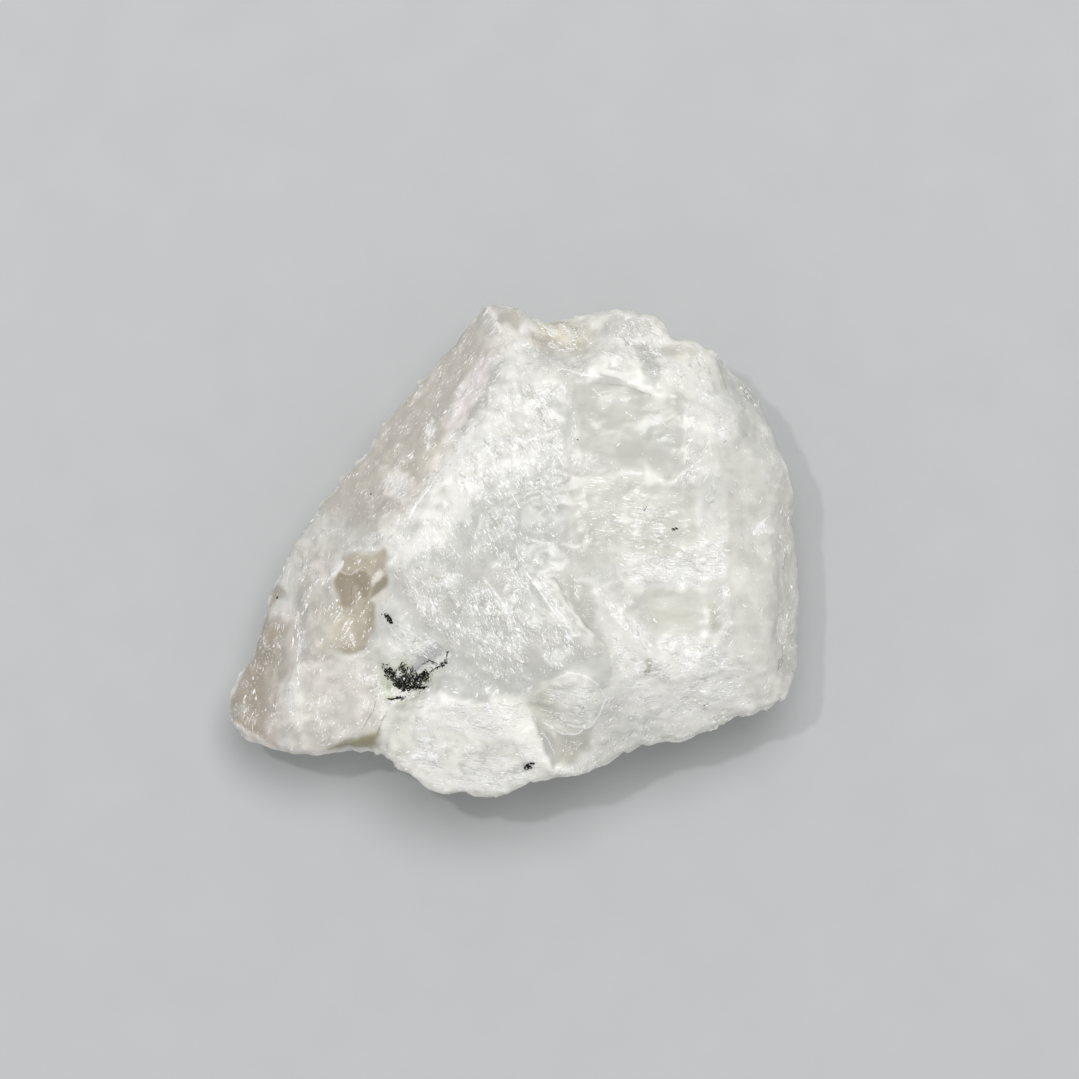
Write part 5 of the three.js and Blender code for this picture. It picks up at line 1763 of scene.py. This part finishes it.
@dataclass(frozen=True)
class BlackTourmaline(Finish):
    """Glassy black tourmaline with blots of green, and pale specks painted as highlights. Sizes are in
    millimetres.
    """

    black: Triple = (12, 14, 12)
    green: Triple = (50, 58, 38)
    painted_highlight: Triple = (232, 234, 228)
    blot_size: float = 0.4
    grit_size: float = 0.14
    blot_range: Point = (0.5, 0.75)
    painted_highlight_range: Point = (0.67, 0.7)
    roughness: float = 0.06
    grit_roughness: float = 0.3
    ior: float = 1.63
    specular: float = 0.2

    def material(self) -> bpy.types.Material:
        """The finish as a Blender material.

        Returns:
            The material.
        """
        graph = Graph("black_tourmaline")
        blot = graph.ramp(graph.grains(self.blot_size, 3.0, 0.6), *self.blot_range)
        grit = graph.grains(self.grit_size, 1.0)
        colour = graph.blend(blot, self.solid(self.black), self.solid(self.green))
        # Painted highlights: pale specks that stand for light glinting on the glassy grains.
        colour = graph.blend(graph.ramp(grit, *self.painted_highlight_range), colour, self.solid(self.painted_highlight))
        rough = graph.total(self.roughness, graph.times(grit, self.grit_roughness))
        graph.shade(Base_Color=colour, Roughness=rough, IOR=self.ior, Specular_IOR_Level=self.specular)
        return graph.material


@dataclass(frozen=True)
class BrightFeldspar(Finish):
    """Freshly broken feldspar: near white and glassy. Sizes are in millimetres."""

    pale: Triple = (255, 255, 254)
    milky: Triple = (238, 238, 233)
    cloud_size: float = 0.6
    cloud_range: Point = (0.4, 0.6)
    grain_size: float = 0.09
    grain_relief: float = 0.01
    bump_share: float = 0.3
    roughness: float = 0.05
    grain_roughness: float = 0.4
    ior: float = 1.53

    def material(self) -> bpy.types.Material:
        """The finish as a Blender material.

        Returns:
            The material.
        """
        graph = Graph("bright_feldspar")
        cloud = graph.ramp(graph.grains(self.cloud_size, 2.0), *self.cloud_range)
        grain = graph.grains(self.grain_size, 1.0)
        height = graph.times(grain, self.grain_relief)
        bump = graph.node("ShaderNodeBump", Strength=self.bump_share, Distance=MM, Height=height)
        rough = graph.total(self.roughness, graph.times(grain, self.grain_roughness))
        colour = graph.blend(cloud, self.solid(self.pale), self.solid(self.milky))
        graph.shade(Base_Color=colour, Roughness=rough, Normal=bump.outputs[0], IOR=self.ior)
        return graph.material


@dataclass(frozen=True)
class StudioFloor(Finish):
    """A plain matt pale floor with a faint grain, whose size is in millimetres."""

    pale: Triple = (196, 197, 198)
    deeper: Triple = (190, 191, 192)
    grain_size: float = 6.0
    roughness: float = 0.85

    def material(self) -> bpy.types.Material:
        """The finish as a Blender material.

        Returns:
            The material.
        """
        graph = Graph("studio_floor")
        grain = graph.grains(self.grain_size, 4.0)
        colour = graph.blend(grain, self.solid(self.pale), self.solid(self.deeper))
        graph.shade(Base_Color=colour, Roughness=self.roughness)
        return graph.material


@dataclass(frozen=True)
class SoftLamp:
    """A soft lamp: the way to it from the stone, its distance and width in metres, and its strength."""

    name: str
    direction: Triple
    distance: float
    width: float
    share: float


@dataclass(frozen=True)
class Studio:
    """The floor, the lamps and the camera that looks straight down on the stone. Lengths are in metres."""

    lamps: tuple[SoftLamp, ...] = (
        SoftLamp("key_lamp", (0.06, 0.20, 0.98), 0.85, 0.30, 0.45),
        SoftLamp("glint_lamp", (-0.16, 0.12, 0.98), 0.75, 0.02, 0.14),
    )
    sky: float = 0.48
    sky_colour: tuple[float, float, float, float] = (1.0, 1.0, 1.0, 1.0)
    floor_width: float = 3.0
    camera_place: Triple = (0.00224, 0.00101, 0.617)
    view_width: float = 0.09465
    view_distance: float = 0.6
    view_range: Point = (0.01, 10.0)
    sensor_mm: float = 36.0

    def build(self) -> None:
        """Makes the floor, the lamps, the sky and the camera."""
        half = self.floor_width / 2
        corners = [(-half, -half, 0.0), (half, -half, 0.0), (half, half, 0.0), (-half, half, 0.0)]
        floor = new_object("floor", corners, [(0, 1, 2, 3)])
        floor.data.materials.append(StudioFloor().material())
        for lamp in self.lamps:
            self.light(lamp)
        world = bpy.data.worlds.new("studio_sky")
        world.use_nodes = True
        background = world.node_tree.nodes["Background"]
        background.inputs["Color"].default_value = self.sky_colour
        background.inputs["Strength"].default_value = self.sky
        bpy.context.scene.world = world
        bpy.context.scene.view_settings.view_transform = "Standard"
        self.aim_camera()

    @staticmethod
    def light(lamp: SoftLamp) -> None:
        """Hangs one lamp, which points at the stone.

        Args:
            lamp: where it hangs, and how wide and strong it is.
        """
        data = bpy.data.lights.new(lamp.name, "AREA")
        data.shape = "DISK"
        data.size = lamp.width
        data.energy = (math.pi * lamp.distance) ** 2 * lamp.share
        piece = bpy.data.objects.new(lamp.name, data)
        way = Vector(lamp.direction).normalized()
        piece.location = way * lamp.distance
        piece.rotation_euler = way.to_track_quat("Z", "Y").to_euler()
        bpy.context.scene.collection.objects.link(piece)

    def aim_camera(self) -> None:
        """Sets the camera over the stone, with the top of the picture towards +Y."""
        data = bpy.data.cameras.new("camera")
        data.sensor_width = self.sensor_mm
        data.lens = self.sensor_mm * self.view_distance / self.view_width
        data.clip_start, data.clip_end = self.view_range
        camera = bpy.data.objects.new("camera", data)
        camera.location = self.camera_place
        bpy.context.scene.collection.objects.link(camera)
        bpy.context.scene.camera = camera


def add(maker: Moonstone | TourmalineGrains | FeldsparChips) -> None:
    """Builds one piece, dresses it and reports it.

    Args:
        maker: the sub-assembly that makes the piece.
    """
    piece = maker.build()
    maker.dress(piece)
    log.info("%s: %d triangles", piece.name, len(piece.data.polygons))


def main() -> None:
    """Builds the stone, its grains, its chips and the studio."""
    logging.basicConfig(level=logging.INFO)
    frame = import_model()
    stone = Moonstone(frame["nodes"][NODE])
    add(stone)
    add(TourmalineGrains(stone.surface))
    add(FeldsparChips(stone.surface, stone.skin))
    Studio().build()


if __name__ == "__main__":
    main()
